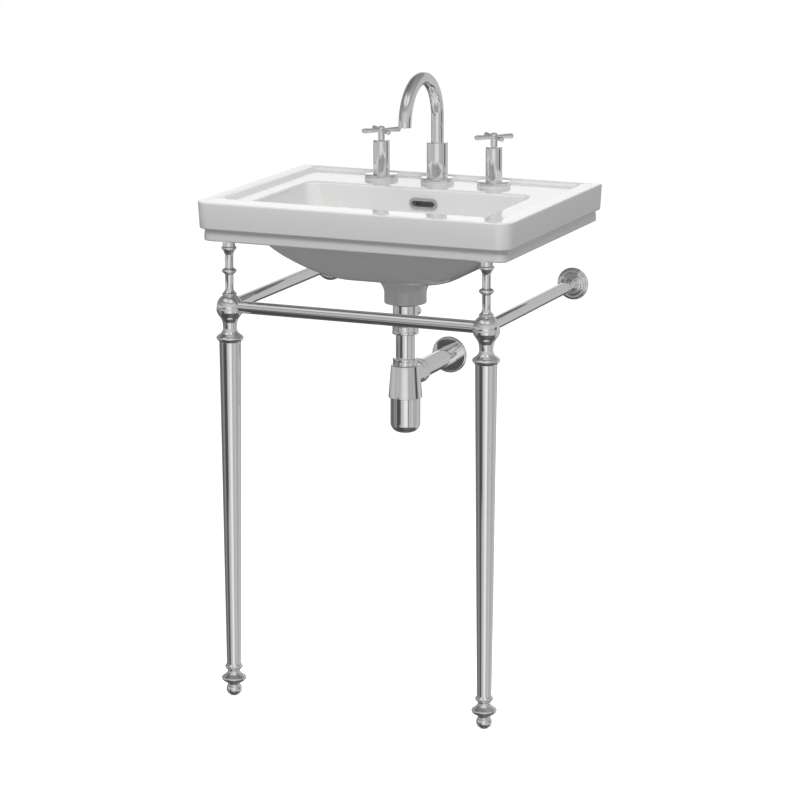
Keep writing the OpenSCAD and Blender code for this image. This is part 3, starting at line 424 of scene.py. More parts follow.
def tray_ring(share, z):
    """Outline of the tray, from its top edge at 0 to the cove's foot at 1."""
    run = COVE_RUN * share
    r = COVE_RUN - share * COVE_RUN / 2
    return ring(HALF_W - RIM_SIDE - run, FRONT_Y + RIM_FRONT + run, WALL_Y - RIM_BACK - run,
                r, r, z)


def spread(t):
    """How far the bowl's wall has spread at a share of its depth."""
    return max(0.0, 1 - t ** BOWL_POWER) ** (1 / BOWL_POWER)


def bowl_ring(t, grow, z):
    """The bowl's outline between its waist at 0 and its floor at 1, grown by a wall."""
    f = spread(t)
    waist_y0 = MOUTH_Y0 + WAIST_IN
    waist_y1 = MOUTH_Y1 - WAIST_BACK
    floor_y = DRAIN_Y - FLOOR_AHEAD
    half_w = FLOOR_W / 2 + (BOWL_W / 2 - WAIST_IN - FLOOR_W / 2) * f
    y0 = floor_y - FLOOR_D / 2 + (waist_y0 - floor_y + FLOOR_D / 2) * f
    y1 = floor_y + FLOOR_D / 2 + (waist_y1 - floor_y - FLOOR_D / 2) * f
    r = FLOOR_R + (WAIST_R - FLOOR_R) * f
    return ring(half_w + grow, y0 - grow, y1 + grow, r + grow, r + grow, z)


def mouth_ring(share, grow, z):
    """The bowl's outline between its mouth at 0 and its waist at 1."""
    side = WAIST_IN * share
    back = WAIST_BACK * share
    r = BOWL_R + (WAIST_R - BOWL_R) * share
    return ring(BOWL_W / 2 - side + grow, MOUTH_Y0 + side - grow, MOUTH_Y1 - back + grow,
                r + grow, r + grow, z)


def blend(a, b, t):
    """A ring between two rings."""
    return [p.lerp(q, t) for p, q in zip(a, b)]


def curve(start, corner, end, steps=CORNER_STEPS):
    """Points of a quadratic curve that turns a corner."""
    shares = [i / steps for i in range(steps + 1)]
    return [start * (1 - t) ** 2 + corner * (2 * t * (1 - t)) + end * t ** 2 for t in shares]


def rounded(start, corner, end, steps=CORNER_STEPS):
    """Rings that turn a corner between two rings."""
    curves = [curve(a, c, b, steps) for a, c, b in zip(start, corner, end)]
    return [list(row) for row in zip(*curves)]


def arc(r, start, end, steps, out=0, up=0):
    """Points of an arc between two angles, as radii and heights."""
    angles = [start + (end - start) * i / steps for i in range(steps + 1)]
    return [(out + r * math.cos(a), up + r * math.sin(a)) for a in angles]


def inside_rings():
    """The basin's upper surface, from the drain hole up to the rim."""
    seat_z = FLOOR_Z - SEAT_DROP
    eye = circle_ring(SEAT_R + SEAT_EDGE, FLOOR_Z)
    floor = bowl_ring(1, 0, FLOOR_Z)
    rings = [circle_ring(DRAIN_R, BOSS_Z + DRAIN_EDGE_UP), circle_ring(DRAIN_R, seat_z),
             circle_ring(SEAT_R, seat_z)]
    rings += rounded(circle_ring(SEAT_R, FLOOR_Z - SEAT_EDGE), circle_ring(SEAT_R, FLOOR_Z), eye,
                     SEAT_STEPS)
    rings += [blend(eye, floor, (i + 1) / FLOOR_ROWS) for i in range(FLOOR_ROWS)]
    for i in range(BOWL_ROWS):
        t = 1 - ((i + 1) / BOWL_ROWS) ** 2
        rings.append(bowl_ring(t, 0, FLOOR_Z + (UNDER_Z - FLOOR_Z) * (1 - t)))
    lip_z = LEDGE_Z - MOUTH_LIP
    for i in range(1, WAIST_ROWS):
        z = UNDER_Z + (lip_z - UNDER_Z) * i / WAIST_ROWS
        rings.append(mouth_ring(1 - (z - UNDER_Z) / (LEDGE_Z - UNDER_Z), 0, z))
    mouth = mouth_ring(0, MOUTH_LIP, LEDGE_Z)
    rings += rounded(mouth_ring(LIP_START, 0, lip_z), mouth_ring(0, 0, LEDGE_Z), mouth, LIP_STEPS)
    outer = tray_ring(COVE_OVERRUN, LEDGE_Z)
    rings += [blend(mouth, outer, i / LEDGE_ROWS) for i in range(1, LEDGE_ROWS)]
    for i in range(COVE_ROWS + 1):
        s = i / COVE_ROWS
        rise = (1 - math.cos(math.pi * s)) / 2
        rings.append(tray_ring(1 - s, LEDGE_Z + LEDGE_DROP * rise))
    return rings


def apron_rings():
    """The rim's outer edge and the two bands of the apron, down to the apron's lower edge."""
    foot, step, edge = BAND_DRAFT, BAND_STEP, BAND_EDGE_R
    cavetto_z = BAND_Z - CAVETTO_R
    rings = [inset_ring(2 * RIM_EDGE_R, RIM_Z, 2 * RIM_EDGE_R)]
    rings += rounded(inset_ring(RIM_EDGE_R, RIM_Z, RIM_EDGE_R), inset_ring(0, RIM_Z),
                     inset_ring(RIM_LEAN, RIM_Z - RIM_EDGE_R), EDGE_STEPS)
    rings += rounded(inset_ring(foot, BAND_Z + edge), inset_ring(foot, BAND_Z),
                     inset_ring(foot + edge, BAND_Z), EDGE_STEPS)
    rings += rounded(inset_ring(step - STEP_LEAN, BAND_Z), inset_ring(step, BAND_Z),
                     inset_ring(step + CAVETTO_SWEEP, cavetto_z))
    for i in range(1, BAND_ROWS):
        s = i / BAND_ROWS
        sweep = max(0, CAVETTO_SWEEP * math.cos(math.pi * s))
        rings.append(inset_ring(step + sweep, cavetto_z - (LOWER_BAND - 2 * CAVETTO_R) * s))
    rings += rounded(inset_ring(step, UNDER_Z + edge), inset_ring(step, UNDER_Z),
                     inset_ring(step + edge, UNDER_Z), EDGE_STEPS)
    return rings


def cavity_ring(grow, corner_grow, z):
    """The outline of the hollow behind the apron."""
    inner = BAND_STEP + APRON_T
    return ring(HALF_W - inner + grow, FRONT_Y + inner - grow, WALL_Y - APRON_T + grow,
                BOWL_T + corner_grow, BOWL_T / 2 + corner_grow, z)


def underside_rings():
    """The hollow behind the apron, the bowl's outside and the drain boss."""
    edge = BAND_EDGE_R
    deck_in = cavity_ring(-edge, 0, DECK_Z)
    rings = rounded(cavity_ring(edge, edge, UNDER_Z), cavity_ring(0, 0, UNDER_Z),
                    cavity_ring(0, 0, UNDER_Z + edge))
    rings += rounded(cavity_ring(0, 0, DECK_Z - edge), cavity_ring(0, 0, DECK_Z), deck_in)
    neck = mouth_ring(NECK_START, BOWL_T + NECK_ROUND, DECK_Z)
    rings += [blend(deck_in, neck, i / DECK_ROWS) for i in range(1, DECK_ROWS)]
    rings += rounded(neck, mouth_ring(NECK_START, BOWL_T, DECK_Z),
                     mouth_ring(NECK_END, BOWL_T, DECK_Z - NECK_ROUND))
    for i in range(1, SKIRT_ROWS):
        share = NECK_END + (1 - NECK_END) * i / SKIRT_ROWS
        rings.append(mouth_ring(share, BOWL_T, LEDGE_Z - (LEDGE_Z - UNDER_Z) * share))
    foot_z = FLOOR_Z - BOWL_T
    for i in range(BOWL_ROWS):
        t = math.sin(QUARTER * i / BOWL_ROWS)
        rings.append(bowl_ring(t, BOWL_T, UNDER_Z + (foot_z - UNDER_Z) * t))
    under = bowl_ring(1, BOWL_T, foot_z)
    flare = circle_ring(BOSS_R + BOSS_FLARE, foot_z)
    rings += [blend(under, flare, i / SHELL_ROWS) for i in range(SHELL_ROWS)]
    rings += rounded(flare, circle_ring(BOSS_R + BOSS_LEAN, foot_z - BOSS_FLARE_H / 2),
                     circle_ring(BOSS_R, foot_z - BOSS_FLARE_H), FLARE_STEPS)
    rings += rounded(circle_ring(BOSS_R, BOSS_Z + BOSS_CHAMFER), circle_ring(BOSS_R, BOSS_Z),
                     circle_ring(BOSS_R - BOSS_CHAMFER, BOSS_Z), LIP_STEPS)
    rings.append(circle_ring(DRAIN_R, BOSS_Z))
    return rings


def loft(rings):
    """A closed band of faces through rings of equal count, joined at both ends."""
    bm = bmesh.new()
    rows = [[bm.verts.new(p) for p in points] for points in rings]
    count = len(rows[0])
    for a, b in zip(rows, rows[1:] + rows[:1]):
        for i in range(count):
            j = (i + 1) % count
            corners = {tuple(round(c, WELD_DIGITS) for c in v.co): v
                       for v in (a[i], a[j], b[j], b[i])}
            if len(corners) > 2:
                bm.faces.new(corners.values())
    bmesh.ops.remove_doubles(bm, verts=bm.verts, dist=WELD)
    bmesh.ops.recalc_face_normals(bm, faces=bm.faces)
    return bm


def prism(points, axis, start, end):
    """A prism on a flat outline, along X, Y or Z."""
    bm = bmesh.new()
    order = {"X": lambda a, b, d: (d, a, b), "Y": lambda a, b, d: (a, d, b),
             "Z": lambda a, b, d: (a, b, d)}[axis]
    low = [bm.verts.new(order(a, b, start)) for a, b in points]
    high = [bm.verts.new(order(a, b, end)) for a, b in points]
    bm.faces.new(low)
    bm.faces.new(high)
    for i in range(len(points)):
        j = (i + 1) % len(points)
        bm.faces.new([low[i], low[j], high[j], high[i]])
    bmesh.ops.recalc_face_normals(bm, faces=bm.faces)
    return bm


def round_plan(x, y, r):
    """A circle's points on a flat plan."""
    angles = [2 * math.pi * i / HOLE_SIDES for i in range(HOLE_SIDES)]
    return [(x + r * math.cos(a), y + r * math.sin(a)) for a in angles]


def combine(obj, bm, operation):
    """Joins a form to an object, or cuts it out."""
    form = place_mesh("form", bm)
    change = obj.modifiers.new("change", "BOOLEAN")
    change.operation = operation
    change.solver = "EXACT"
    change.object = form
    seen = obj.evaluated_get(bpy.context.evaluated_depsgraph_get())
    done = bpy.data.meshes.new_from_object(seen)
    obj.modifiers.remove(change)
    obj.data = done
    bpy.data.objects.remove(form)


def duct_side(grow):
    """Side view of the overflow duct, from the bowl's back wall down to the drain."""
    front = DUCT_Y - grow
    back = DUCT_Y + DUCT_T + grow
    foot = FLOOR_Z - BOWL_T - DUCT_T
    knee = DUCT_Y - DUCT_T
    return [
        (DRAIN_Y, foot - grow), (knee, foot + DUCT_T / 2 - grow), (back, foot + 2 * DUCT_T),
        (back, SLOT_Z + SLOT_H + grow / 2), (front, SLOT_Z + SLOT_H + grow / 2),
        (front, FLOOR_Z + DUCT_T), (knee - DUCT_T, foot + DUCT_T + grow),
        (DRAIN_Y, foot + DUCT_T + grow),
    ]


def build_basin():
    """The basin's casting, with its overflow duct, pads and holes."""
    basin = add_piece("basin_casting", loft(inside_rings() + apron_rings() + underside_rings()),
                      "sink", "glaze", "basin")
    opening = middle("overflow_ring")
    x = opening.x
    half = DUCT_W / 2 + DUCT_WALL
    combine(basin, prism(duct_side(DUCT_WALL), "X", x - half, x + half), "UNION")
    leg = middle("right_spindle")
    top = DECK_Z + BOWL_T / 2
    pad_front = WALL_Y - APRON_T - BOLT_PAD_T
    pad_back = WALL_Y - APRON_T / 2
    for sign in (-1, 1):
        combine(basin, prism(round_plan(sign * leg.x, leg.y, LEG_PAD_R), "Z", UNDER_Z, top),
                "UNION")
        pad_x = sign * BOLT_X
        left, right = pad_x - BOLT_PAD_W / 2, pad_x + BOLT_PAD_W / 2
        pad = [(left, pad_front), (right, pad_front), (right, pad_back), (left, pad_back)]
        combine(basin, prism(pad, "Z", UNDER_Z, top), "UNION")
        combine(basin, prism(round_plan(pad_x, BOLT_Z, BOLT_HOLE_R), "Y", pad_front - BOWL_T,
                             WALL_Y + BOWL_T), "DIFFERENCE")
    combine(basin, prism(duct_side(0), "X", x - DUCT_W / 2, x + DUCT_W / 2), "DIFFERENCE")
    slot = [(p.x, p.z) for p in stadium(SLOT_W / 2, SLOT_H / 2, 0, Vector((x, 0, SLOT_Z)))]
    combine(basin, prism(slot, "Y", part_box("overflow_ring")[0].y - BOWL_T, DUCT_Y + DUCT_T / 2),
            "DIFFERENCE")
    smooth(basin.data)


SIDES = 96
NUT_SIDES = 4 * SIDES
TINY = 1e-7
MATRIX_SIZE = 4
TO_WALL = Matrix.Rotation(-QUARTER, MATRIX_SIZE, "X")
FROM_WALL = Matrix.Rotation(QUARTER, MATRIX_SIZE, "X")
TO_RIGHT = Matrix.Rotation(QUARTER, MATRIX_SIZE, "Y")
UPSIDE_DOWN = Matrix.Rotation(2 * QUARTER, MATRIX_SIZE, "X")
FLUTES = 12
FLUTE_R = 1.6 * MM
FLUTE_OUT = 0.88 * MM
FLUTE_END = 0.3 * MM


def at(x, y, z, turned=None):
    """A place, with a turn of the axis if there is one."""
    shift = Matrix.Translation((x, y, z))
    return shift @ turned if turned else shift


def soften(outline, r, steps=CORNER_STEPS):
    """Rounds the corners of an outline with short curves, limited to half of each edge."""
    points = [Vector(p) for p in outline]
    done = [points[0]]
    for a, b, c in zip(points, points[1:], points[2:]):
        start = b + (a - b).normalized() * min(r, (a - b).length / 2)
        end = b + (c - b).normalized() * min(r, (c - b).length / 2)
        done += curve(start, b, end, steps)
    return done + [points[-1]]


def fluted(r, angle):
    """The radius at an angle of a nut with round flutes."""
    step = 2 * math.pi / FLUTES
    off = (angle + step / 2) % step - step / 2
    far = r + FLUTE_OUT
    side = far * math.sin(off)
    if abs(side) >= FLUTE_R:
        return r
    return min(r, far * math.cos(off) - math.sqrt(FLUTE_R ** 2 - side ** 2))


def skin(bm, rows):
    """Faces between rows of points, each row closed in itself."""
    for a, b in zip(rows, rows[1:]):
        for i in range(len(a)):
            j = (i + 1) % len(a)
            corners = list(dict.fromkeys([a[i], a[j], b[j], b[i]]))
            if len(corners) > 2:
                bm.faces.new(corners)


def turn(bm, outline, place, flutes=None, sides=SIDES):
    """Turns an outline of radii and heights round its axis, with flutes between two heights."""
    rows = []
    for r, h in outline:
        if r < TINY:
            rows.append([bm.verts.new(place @ Vector((0, 0, h)))] * sides)
            continue
        row = []
        for i in range(sides):
            a = 2 * math.pi * i / sides
            grooved = flutes and flutes[0] <= h <= flutes[1]
            d = fluted(r, a) if grooved else r
            row.append(bm.verts.new(place @ Vector((d * math.cos(a), d * math.sin(a), h))))
        rows.append(row)
    skin(bm, rows)


def turned_piece(name, outline, place, body, slot, *nodes, flutes=None, sides=SIDES):
    """A piece of one turned form."""
    bm = bmesh.new()
    turn(bm, outline, place, flutes, sides)
    add_piece(name, bm, body, slot, *nodes)


def solid(outline):
    """An outline closed to the axis at both ends."""
    points = [tuple(p) for p in outline]
    return [(0, points[0][1])] + points + [(0, points[-1][1])]


def sized(shares, r, h):
    """A table of shares as points of a radius and a height."""
    return [(s[0] * r, s[1] * h) for s in shares]


def half_width(node):
    """Half the width of a node's box."""
    low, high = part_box(node)
    return (high.x - low.x) / 2


def middle(node):
    """The middle of a node's box."""
    low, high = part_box(node)
    return (low + high) / 2


# The turned forms, as shares of the widest radius and the height
SPINDLE = [
    (0.866, 0), (0.984, 0.016), (0.945, 0.033), (0.772, 0.055), (0.63, 0.082), (0.559, 0.126),
    (0.559, 0.388), (0.78, 0.41), (0.965, 0.435), (0.99, 0.454), (0.89, 0.475), (0.559, 0.505),
    (0.559, 0.749), (0.63, 0.781), (0.795, 0.833), (0.976, 0.853), (1, 0.869), (0.96, 0.891),
    (0.827, 0.902), (0.827, 1),
]
BALL_TAIL = [
    (0.567, -1.221), (0.6, -1.129), (0.677, -0.944), (0.811, -0.76), (0.935, -0.576),
    (1.01, -0.391), (1.035, -0.2),
]
BALL_LOW = -5
BALL_TOP = 61.2
CAPITAL = [
    (0.803, 0), (0.808, 0.023), (0.83, 0.066), (0.9, 0.103), (0.975, 0.157), (1, 0.206),
    (0.995, 0.243), (0.95, 0.286), (0.85, 0.343), (0.67, 0.43), (0.555, 0.543), (0.495, 0.686),
    (0.505, 0.86), (0.54, 1),
]
FOOT = [
    (0.261, 0), (0.3, 0.014), (0.498, 0.079), (0.585, 0.134), (0.618, 0.211), (0.589, 0.277),
    (0.502, 0.327), (0.493, 0.345), (0.512, 0.384), (0.628, 0.421), (0.845, 0.464), (0.966, 0.509),
    (1, 0.554), (0.976, 0.589), (0.773, 0.643), (0.589, 0.696), (0.507, 0.741), (0.493, 0.779),
    (0.512, 0.821), (0.618, 0.848), (0.7, 0.884), (0.715, 0.911), (0.686, 0.946), (0.62, 0.979),
    (0.58, 1),
]
FLANGE = [
    (0.97, 0), (1, 0.15), (1, 0.375), (0.954, 0.55), (0.916, 0.575), (0.893, 0.875), (0.84, 1),
    (0.786, 1.025), (0.771, 0.925), (0.733, 1.075), (0.71, 1.15), (0.66, 0.95), (0.611, 0.825),
    (0.535, 0.825),
]
BOSS_STEPS = [
    (0.507, 0.41), (0.486, 0.615), (0.443, 0.687), (0.4, 0.872), (0.371, 0.944), (0.307, 0.995),
]
TURNED_SOFT = 0.35 * MM
CRISP = 0.4 * MM
TAP_SOFT = 3 * CRISP
FLANGE_T = 8 * MM
FLANGE_BOSS_H = 19.5 * MM
RAIL_GAP = 41 * MM


def build_leg(side):
    """A leg: spindle, ball, capital, tapering tube and foot, with its side rail."""
    tube_low, tube_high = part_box(f"{side}_leg_tube")
    x, y, _ = middle(f"{side}_leg_tube")
    rail_z = middle("front_rail").z
    low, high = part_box(f"{side}_spindle")
    turned_piece(f"{side}_spindle_turned",
                 solid(soften(sized(SPINDLE, half_width(f"{side}_spindle"), high.z - low.z),
                              TURNED_SOFT)),
                 at(x, y, low.z), "sink", "chrome", f"{side}_spindle")
    low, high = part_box(f"{side}_ball")
    start, end = math.radians(BALL_LOW), math.radians(BALL_TOP)
    r = (high.z - low.z) / (math.sin(end) - BALL_TAIL[0][1])
    ball = sized(BALL_TAIL, r, r) + arc(r, start, end, BALL_STEPS)
    turned_piece(f"{side}_ball_turned", solid(soften(ball, TURNED_SOFT)),
                 at(x, y, rail_z), "sink", "chrome", f"{side}_ball")
    turned_piece(f"{side}_capital_turned",
                 solid(soften(sized(CAPITAL, half_width(f"{side}_capital"),
                                    low.z - tube_high.z), TURNED_SOFT)),
                 at(x, y, tube_high.z), "sink", "chrome", f"{side}_capital")
    turned_piece(f"{side}_leg_shaft",
                 solid([(TUBE_FOOT_R, 0),
                        (half_width(f"{side}_leg_tube"), tube_high.z - tube_low.z)]),
                 at(x, y, tube_low.z), "sink", "chrome", f"{side}_leg_tube")
    turned_piece(f"{side}_foot_turned",
                 solid(soften(sized(FOOT, half_width(f"{side}_foot"), tube_low.z), TURNED_SOFT)),
                 at(x, y, 0), "sink", "chrome", f"{side}_foot")
    flange = f"{side}_wall_flange"
    r = half_width(flange)
    steps = sized(FLANGE, r, FLANGE_T) + sized(BOSS_STEPS, r, FLANGE_BOSS_H)
    steps.append((steps[-1][0], RAIL_GAP + FLANGE_T))
    turned_piece(f"{flange}_turned", solid(soften(steps, CRISP)),
                 at(x, WALL_Y, rail_z, FROM_WALL), "sink", "chrome", flange)
    low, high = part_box(f"{side}_rail")
    r = half_width(f"{side}_rail")
    turned_piece(f"{side}_rail_bar", solid([(r, 0), (r, high.y - low.y)]),
                 at(x, low.y, rail_z, TO_WALL), "sink", "chrome", f"{side}_rail")


def build_front_rail():
    """The rail between the legs."""
    low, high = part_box("front_rail")
    _, y, z = middle("front_rail")
    r = (high.z - low.z) / 2
    turned_piece("front_rail_bar", solid([(r, 0), (r, high.x - low.x)]),
                 at(low.x, y, z, TO_RIGHT), "sink", "chrome", "front_rail")


def nut_piece(node, r, h, place):
    """A nut: a smooth lip and a fluted grip above it.

    The grip's upper end is listed twice, which leaves its corner crisp.
    """
    start, end = NUT_LIP + NUT_WAIST, h - NUT_WAIST
    grip_r = r - NUT_WAIST / 2
    outline = soften([(r - NUT_WAIST, 0), (r, NUT_WAIST), (r, NUT_LIP - NUT_WAIST / 2),
                      (grip_r, NUT_LIP), (grip_r, start)], CRISP)
    outline += [(grip_r, start + FLUTE_END), (grip_r, end - FLUTE_END)]
    outline += soften([(grip_r, end), (grip_r, end), (r - 2 * NUT_WAIST, h)], CRISP)
    turned_piece(f"{node}_turned", solid(outline), place, "sink", "chrome", node,
                 flutes=(start + FLUTE_END / 2, end - FLUTE_END / 2), sides=NUT_SIDES)


def build_trap():
    """The bottle trap with its waste tail, nuts and pipes."""
    y = DRAIN_Y
    port_z = middle("waste_port_nut").z
    outlet_z = middle("trap_outlet_nut").z
    nut_low, nut_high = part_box("trap_inlet_nut")
    top_low, top_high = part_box("trap_top_nut")
    out_low, out_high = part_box("trap_outlet_nut")
    body_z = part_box("trap_body")[0].z
    bottle_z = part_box("trap_bottle")[0].z
    r = half_width("waste_tail")
    bm = bmesh.new()
    turn(bm, solid([(r, nut_high.z), (r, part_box("waste_tail")[1].z)]), at(0, y, 0))
    turn(bm, solid([(PORT_R, 0), (PORT_R, PORT_REACH - PORT_NUT_L)]), at(0, y, port_z, TO_WALL))
    add_piece("waste_tail_turned", bm, "sink", "chrome", "waste_tail")
    r = half_width("waste_port_nut")
    turned_piece("waste_port_cap", solid(soften([(r, 0), (r, PORT_NUT_L), (0, PORT_NUT_L)],
                                                2 * CRISP)),
                 at(0, y + PORT_REACH - PORT_NUT_L, port_z, TO_WALL), "sink", "chrome",
                 "waste_port_nut")
    nut_piece("trap_inlet_nut", half_width("trap_inlet_nut"), nut_high.z - nut_low.z,
              at(0, y, nut_low.z))
    pipe_r = half_width("trap_outlet_pipe")
    turned_piece("trap_inlet_pipe_turned",
                 solid([(pipe_r, top_low.z), (pipe_r, nut_low.z + NUT_WAIST)]),
                 at(0, y, 0), "sink", "chrome", "trap_inlet_pipe")
    nut_piece("trap_top_nut", half_width("trap_top_nut"), top_high.z - top_low.z,
              at(0, y, top_high.z, UPSIDE_DOWN))
    cone_r = half_width("trap_body")
    cone_h = top_low.z - body_z
    bm = bmesh.new()
    cone = [(cone_r - CRISP, 0), (cone_r, CRISP), (CONE_TOP_R, cone_h - CRISP),
            (CONE_TOP_R - 2 * CRISP, cone_h)]
    turn(bm, solid(soften(cone, CRISP)), at(0, y, body_z))
    nut_r = (out_high.z - out_low.z) / 2
    branch_r = nut_r - 2 * NUT_WAIST
    turn(bm, solid([(branch_r, 0), (branch_r, out_low.y - y + NUT_LIP)]),
         at(0, y, outlet_z, TO_WALL))
    add_piece("trap_body_turned", bm, "sink", "chrome", "trap_body")
    r = half_width("trap_bottle")
    bottle = arc(BOTTLE_ROUND, -QUARTER, 0, BOTTLE_STEPS, r - BOTTLE_ROUND, BOTTLE_ROUND)
    bottle.append((r, body_z - bottle_z + NUT_WAIST))
    turned_piece("trap_bottle_turned", solid(bottle), at(0, y, bottle_z), "sink", "chrome",
                 "trap_bottle")
    nut_piece("trap_outlet_nut", nut_r, out_high.y - out_low.y,
              at(0, out_high.y, outlet_z, FROM_WALL))
    turned_piece("trap_outlet_pipe_turned",
                 solid([(pipe_r, 0), (pipe_r, WALL_Y - out_high.y + NUT_LIP)]),
                 at(0, out_high.y - NUT_LIP, outlet_z, TO_WALL), "sink", "chrome",
                 "trap_outlet_pipe")
    low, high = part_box("trap_rosette")
    r = half_width("trap_rosette")
    plate = [(r, 0)] + arc(ROSETTE_ROUND, 0, QUARTER, ROSETTE_STEPS, r - ROSETTE_ROUND,
                           high.y - low.y - ROSETTE_ROUND)
    turned_piece("trap_rosette_turned", solid(plate),
                 at(0, WALL_Y, outlet_z, FROM_WALL), "sink", "chrome", "trap_rosette")


def build_tap(side, body):
    """One of the two valves' visible pieces: flange, body, cross handle and cap."""
    x, y, _ = middle(f"{side}_flange")
    build_tap_flange(side, x, y)
    low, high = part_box(f"{side}_body")
    r = half_width(f"{side}_body")
    h = high.z - low.z
    turned_piece(f"{side}_body_turned",
                 solid(soften([(r, 0), (r, h), (r - 2 * BODY_ROUND, h)], BODY_ROUND, BODY_STEPS)),
                 at(x, y, low.z), "sink", "chrome", f"{side}_body")
    cross_z = high.z + CROSS_UP
    low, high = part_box(f"{side}_handle")
    neck = [(NECK_R, low.z), (NECK_R, high.z), (NECK_R - 2 * HUB_ROUND, high.z)]
    bm = bmesh.new()
    turn(bm, solid(soften(neck, HUB_ROUND, HUB_STEPS)), at(x, y, 0))
    arm = [(0, 0), (ARM_ROOT_R, 0)]
    arm += arc(ARM_TIP_R, 0, QUARTER, ARM_STEPS, 0, ARM_REACH - ARM_TIP_R)
    for i in range(CROSS_ARMS):
        heading = Matrix.Rotation(QUARTER / 2 + QUARTER * i, MATRIX_SIZE, "Z")
        turn(bm, arm, at(x, y, cross_z, heading @ TO_RIGHT), sides=SIDES // 2)
    add_piece(f"{side}_handle_turned", bm, body, "chrome", f"{side}_handle")
    low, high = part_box(f"{side}_cap")
    r = half_width(f"{side}_cap")
    turned_piece(f"{side}_cap_turned",
                 solid(soften([(r, low.z), (r, low.z + CRISP), (r - TAP_SOFT, high.z)], CRISP)),
                 at(x, y, 0), body, "chrome", f"{side}_cap")


def build_tap_flange(side, x, y):
    """The round flange under a tap or the spout."""
    low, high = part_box(f"{side}_flange")
    r = half_width(f"{side}_flange")
    t = high.z - low.z
    plate = [(r - CRISP, 0), (r, 2 * CRISP), (r, t - TAP_FLANGE_FALL), (r * TAP_FLANGE_FLAT, t)]
    turned_piece(f"{side}_flange_turned", solid(soften(plate, TAP_SOFT)), at(x, y, low.z),
                 "sink", "chrome", f"{side}_flange")


def swept_ring(bm, centre, heading, r):
    """A circle of points round a path whose plane is square to X."""
    across = Vector((1, 0, 0))
    out = heading.cross(across)
    return [bm.verts.new(centre + (across * math.cos(a) + out * math.sin(a)) * r)
            for a in (2 * math.pi * i / SIDES for i in range(SIDES))]


def build_spout():
    """The spout: flange, base and swan-neck tube, open at its mouth."""
    low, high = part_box("spout_base")
    x, y, _ = middle("spout_base")
    r = half_width("spout_base")
    h = high.z - low.z
    bore = half_width("spout_tube") + SPOUT_GAP
    sleeve = [(bore, 0)] + soften([(r, 0), (r, h), (bore, h)], 2 * CRISP) + [(bore, 0)]
    turned_piece("spout_base_turned", sleeve, at(x, y, low.z), "sink", "chrome", "spout_base")
    build_tap_flange("spout", x, y)
    tube_low, tube_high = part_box("spout_tube")
    r = half_width("spout_tube")
    bend = (tube_high.y - tube_low.y) / 2 - r
    bend_z = tube_high.z - r - bend
    path = [(Vector((x, y, tube_low.z)), Vector((0, 0, 1)))]
    for i in range(BEND_STEPS + 1):
        a = math.pi * i / BEND_STEPS
        path.append((Vector((x, y - bend + bend * math.cos(a), bend_z + bend * math.sin(a))),
                     Vector((0, -math.sin(a), math.cos(a)))))
    tip = Vector((x, y - 2 * bend, bend_z - SPOUT_TIP_L))
    down = Vector((0, 0, -1))
    inner = r - SPOUT_T
    path.append((tip - down * CRISP, down))
    bm = bmesh.new()
    rows = [swept_ring(bm, c, d, r) for c, d in path]
    rows.append(swept_ring(bm, tip, down, r - CRISP))
    rows.append(swept_ring(bm, tip, down, inner + CRISP))
    rows += [swept_ring(bm, c, d, inner) for c, d in reversed(path)]
    skin(bm, rows + rows[:1])
    bmesh.ops.recalc_face_normals(bm, faces=bm.faces)
    add_piece("spout_swan_neck", bm, "spout", "chrome", "spout_tube")


def stadium(half_w, half_h, depth, centre):
    """A stadium-shaped ring that faces the front."""
    flat = ring(half_w, -half_h, half_h, half_h, half_h, 0)
    return [Vector((centre.x + p.x, depth, centre.z + p.y)) for p in flat]


def build_overflow_ring():
    """The chrome ring in the overflow slot."""
    low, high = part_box("overflow_ring")
    half_w, half_h = (high.x - low.x) / 2, (high.z - low.z) / 2
    edge = CRISP
    front = low.y
    steps = [(0, front + RING_PROUD), (0, front + 2 * edge), (edge / 2, front + edge / 2),
             (2 * edge, front), (RING_W - 2 * edge, front), (RING_W - edge / 2, front + edge / 2),
             (RING_W, front + 2 * edge), (RING_W, high.y), (RING_W - RING_T, high.y),
             (RING_W - RING_T, front + RING_PROUD)]
    centre = middle("overflow_ring")
    bm = loft([stadium(half_w - d, half_h - d, depth, centre) for d, depth in steps])
    add_piece("overflow_ring_rounded", bm, "sink", "chrome", "overflow_ring")


def build_camera():
    """The photograph's camera, from a fit to the basin's edges, the legs and the rails."""
    data = bpy.data.cameras.new("photo_camera")
    data.sensor_width = SENSOR_W
    data.lens = LENS
    data.clip_end = CLIP_END
    camera = bpy.data.objects.new("photo_camera", data)
    camera.location = CAMERA_PLACE
    camera.rotation_euler = (QUARTER - math.radians(CAMERA_PITCH), 0, math.radians(CAMERA_YAW))
    bpy.context.scene.collection.objects.link(camera)
    bpy.context.scene.camera = camera


def build_floor():
    """A white floor: plain white to the camera, apart from the object's soft shadow."""
    bm = bmesh.new()
    bmesh.ops.create_grid(bm, x_segments=FLOOR_CELLS, y_segments=FLOOR_CELLS, size=FLOOR_HALF)
    floor = place_mesh("floor", bm)
    mat, tree, shader = node_tree("floor")
    shader.inputs["Base Color"].default_value = FLOOR_WHITE
    shader.inputs["Roughness"].default_value = FLOOR_ROUGH
    shader.inputs["Specular IOR Level"].default_value = 0
    glow = tree.nodes.new("ShaderNodeEmission")
    glow.inputs["Strength"].default_value = FLOOR_GLOW
    both = tree.nodes.new("ShaderNodeAddShader")
    tree.links.new(shader.outputs[0], both.inputs[0])
    tree.links.new(glow.outputs[0], both.inputs[1])
    show_white(tree, shader.outputs[0], both, tree.nodes["Material Output"].inputs["Surface"])
    floor.data.materials.append(mat)
    floor.visible_glossy = False
    floor.visible_diffuse = False


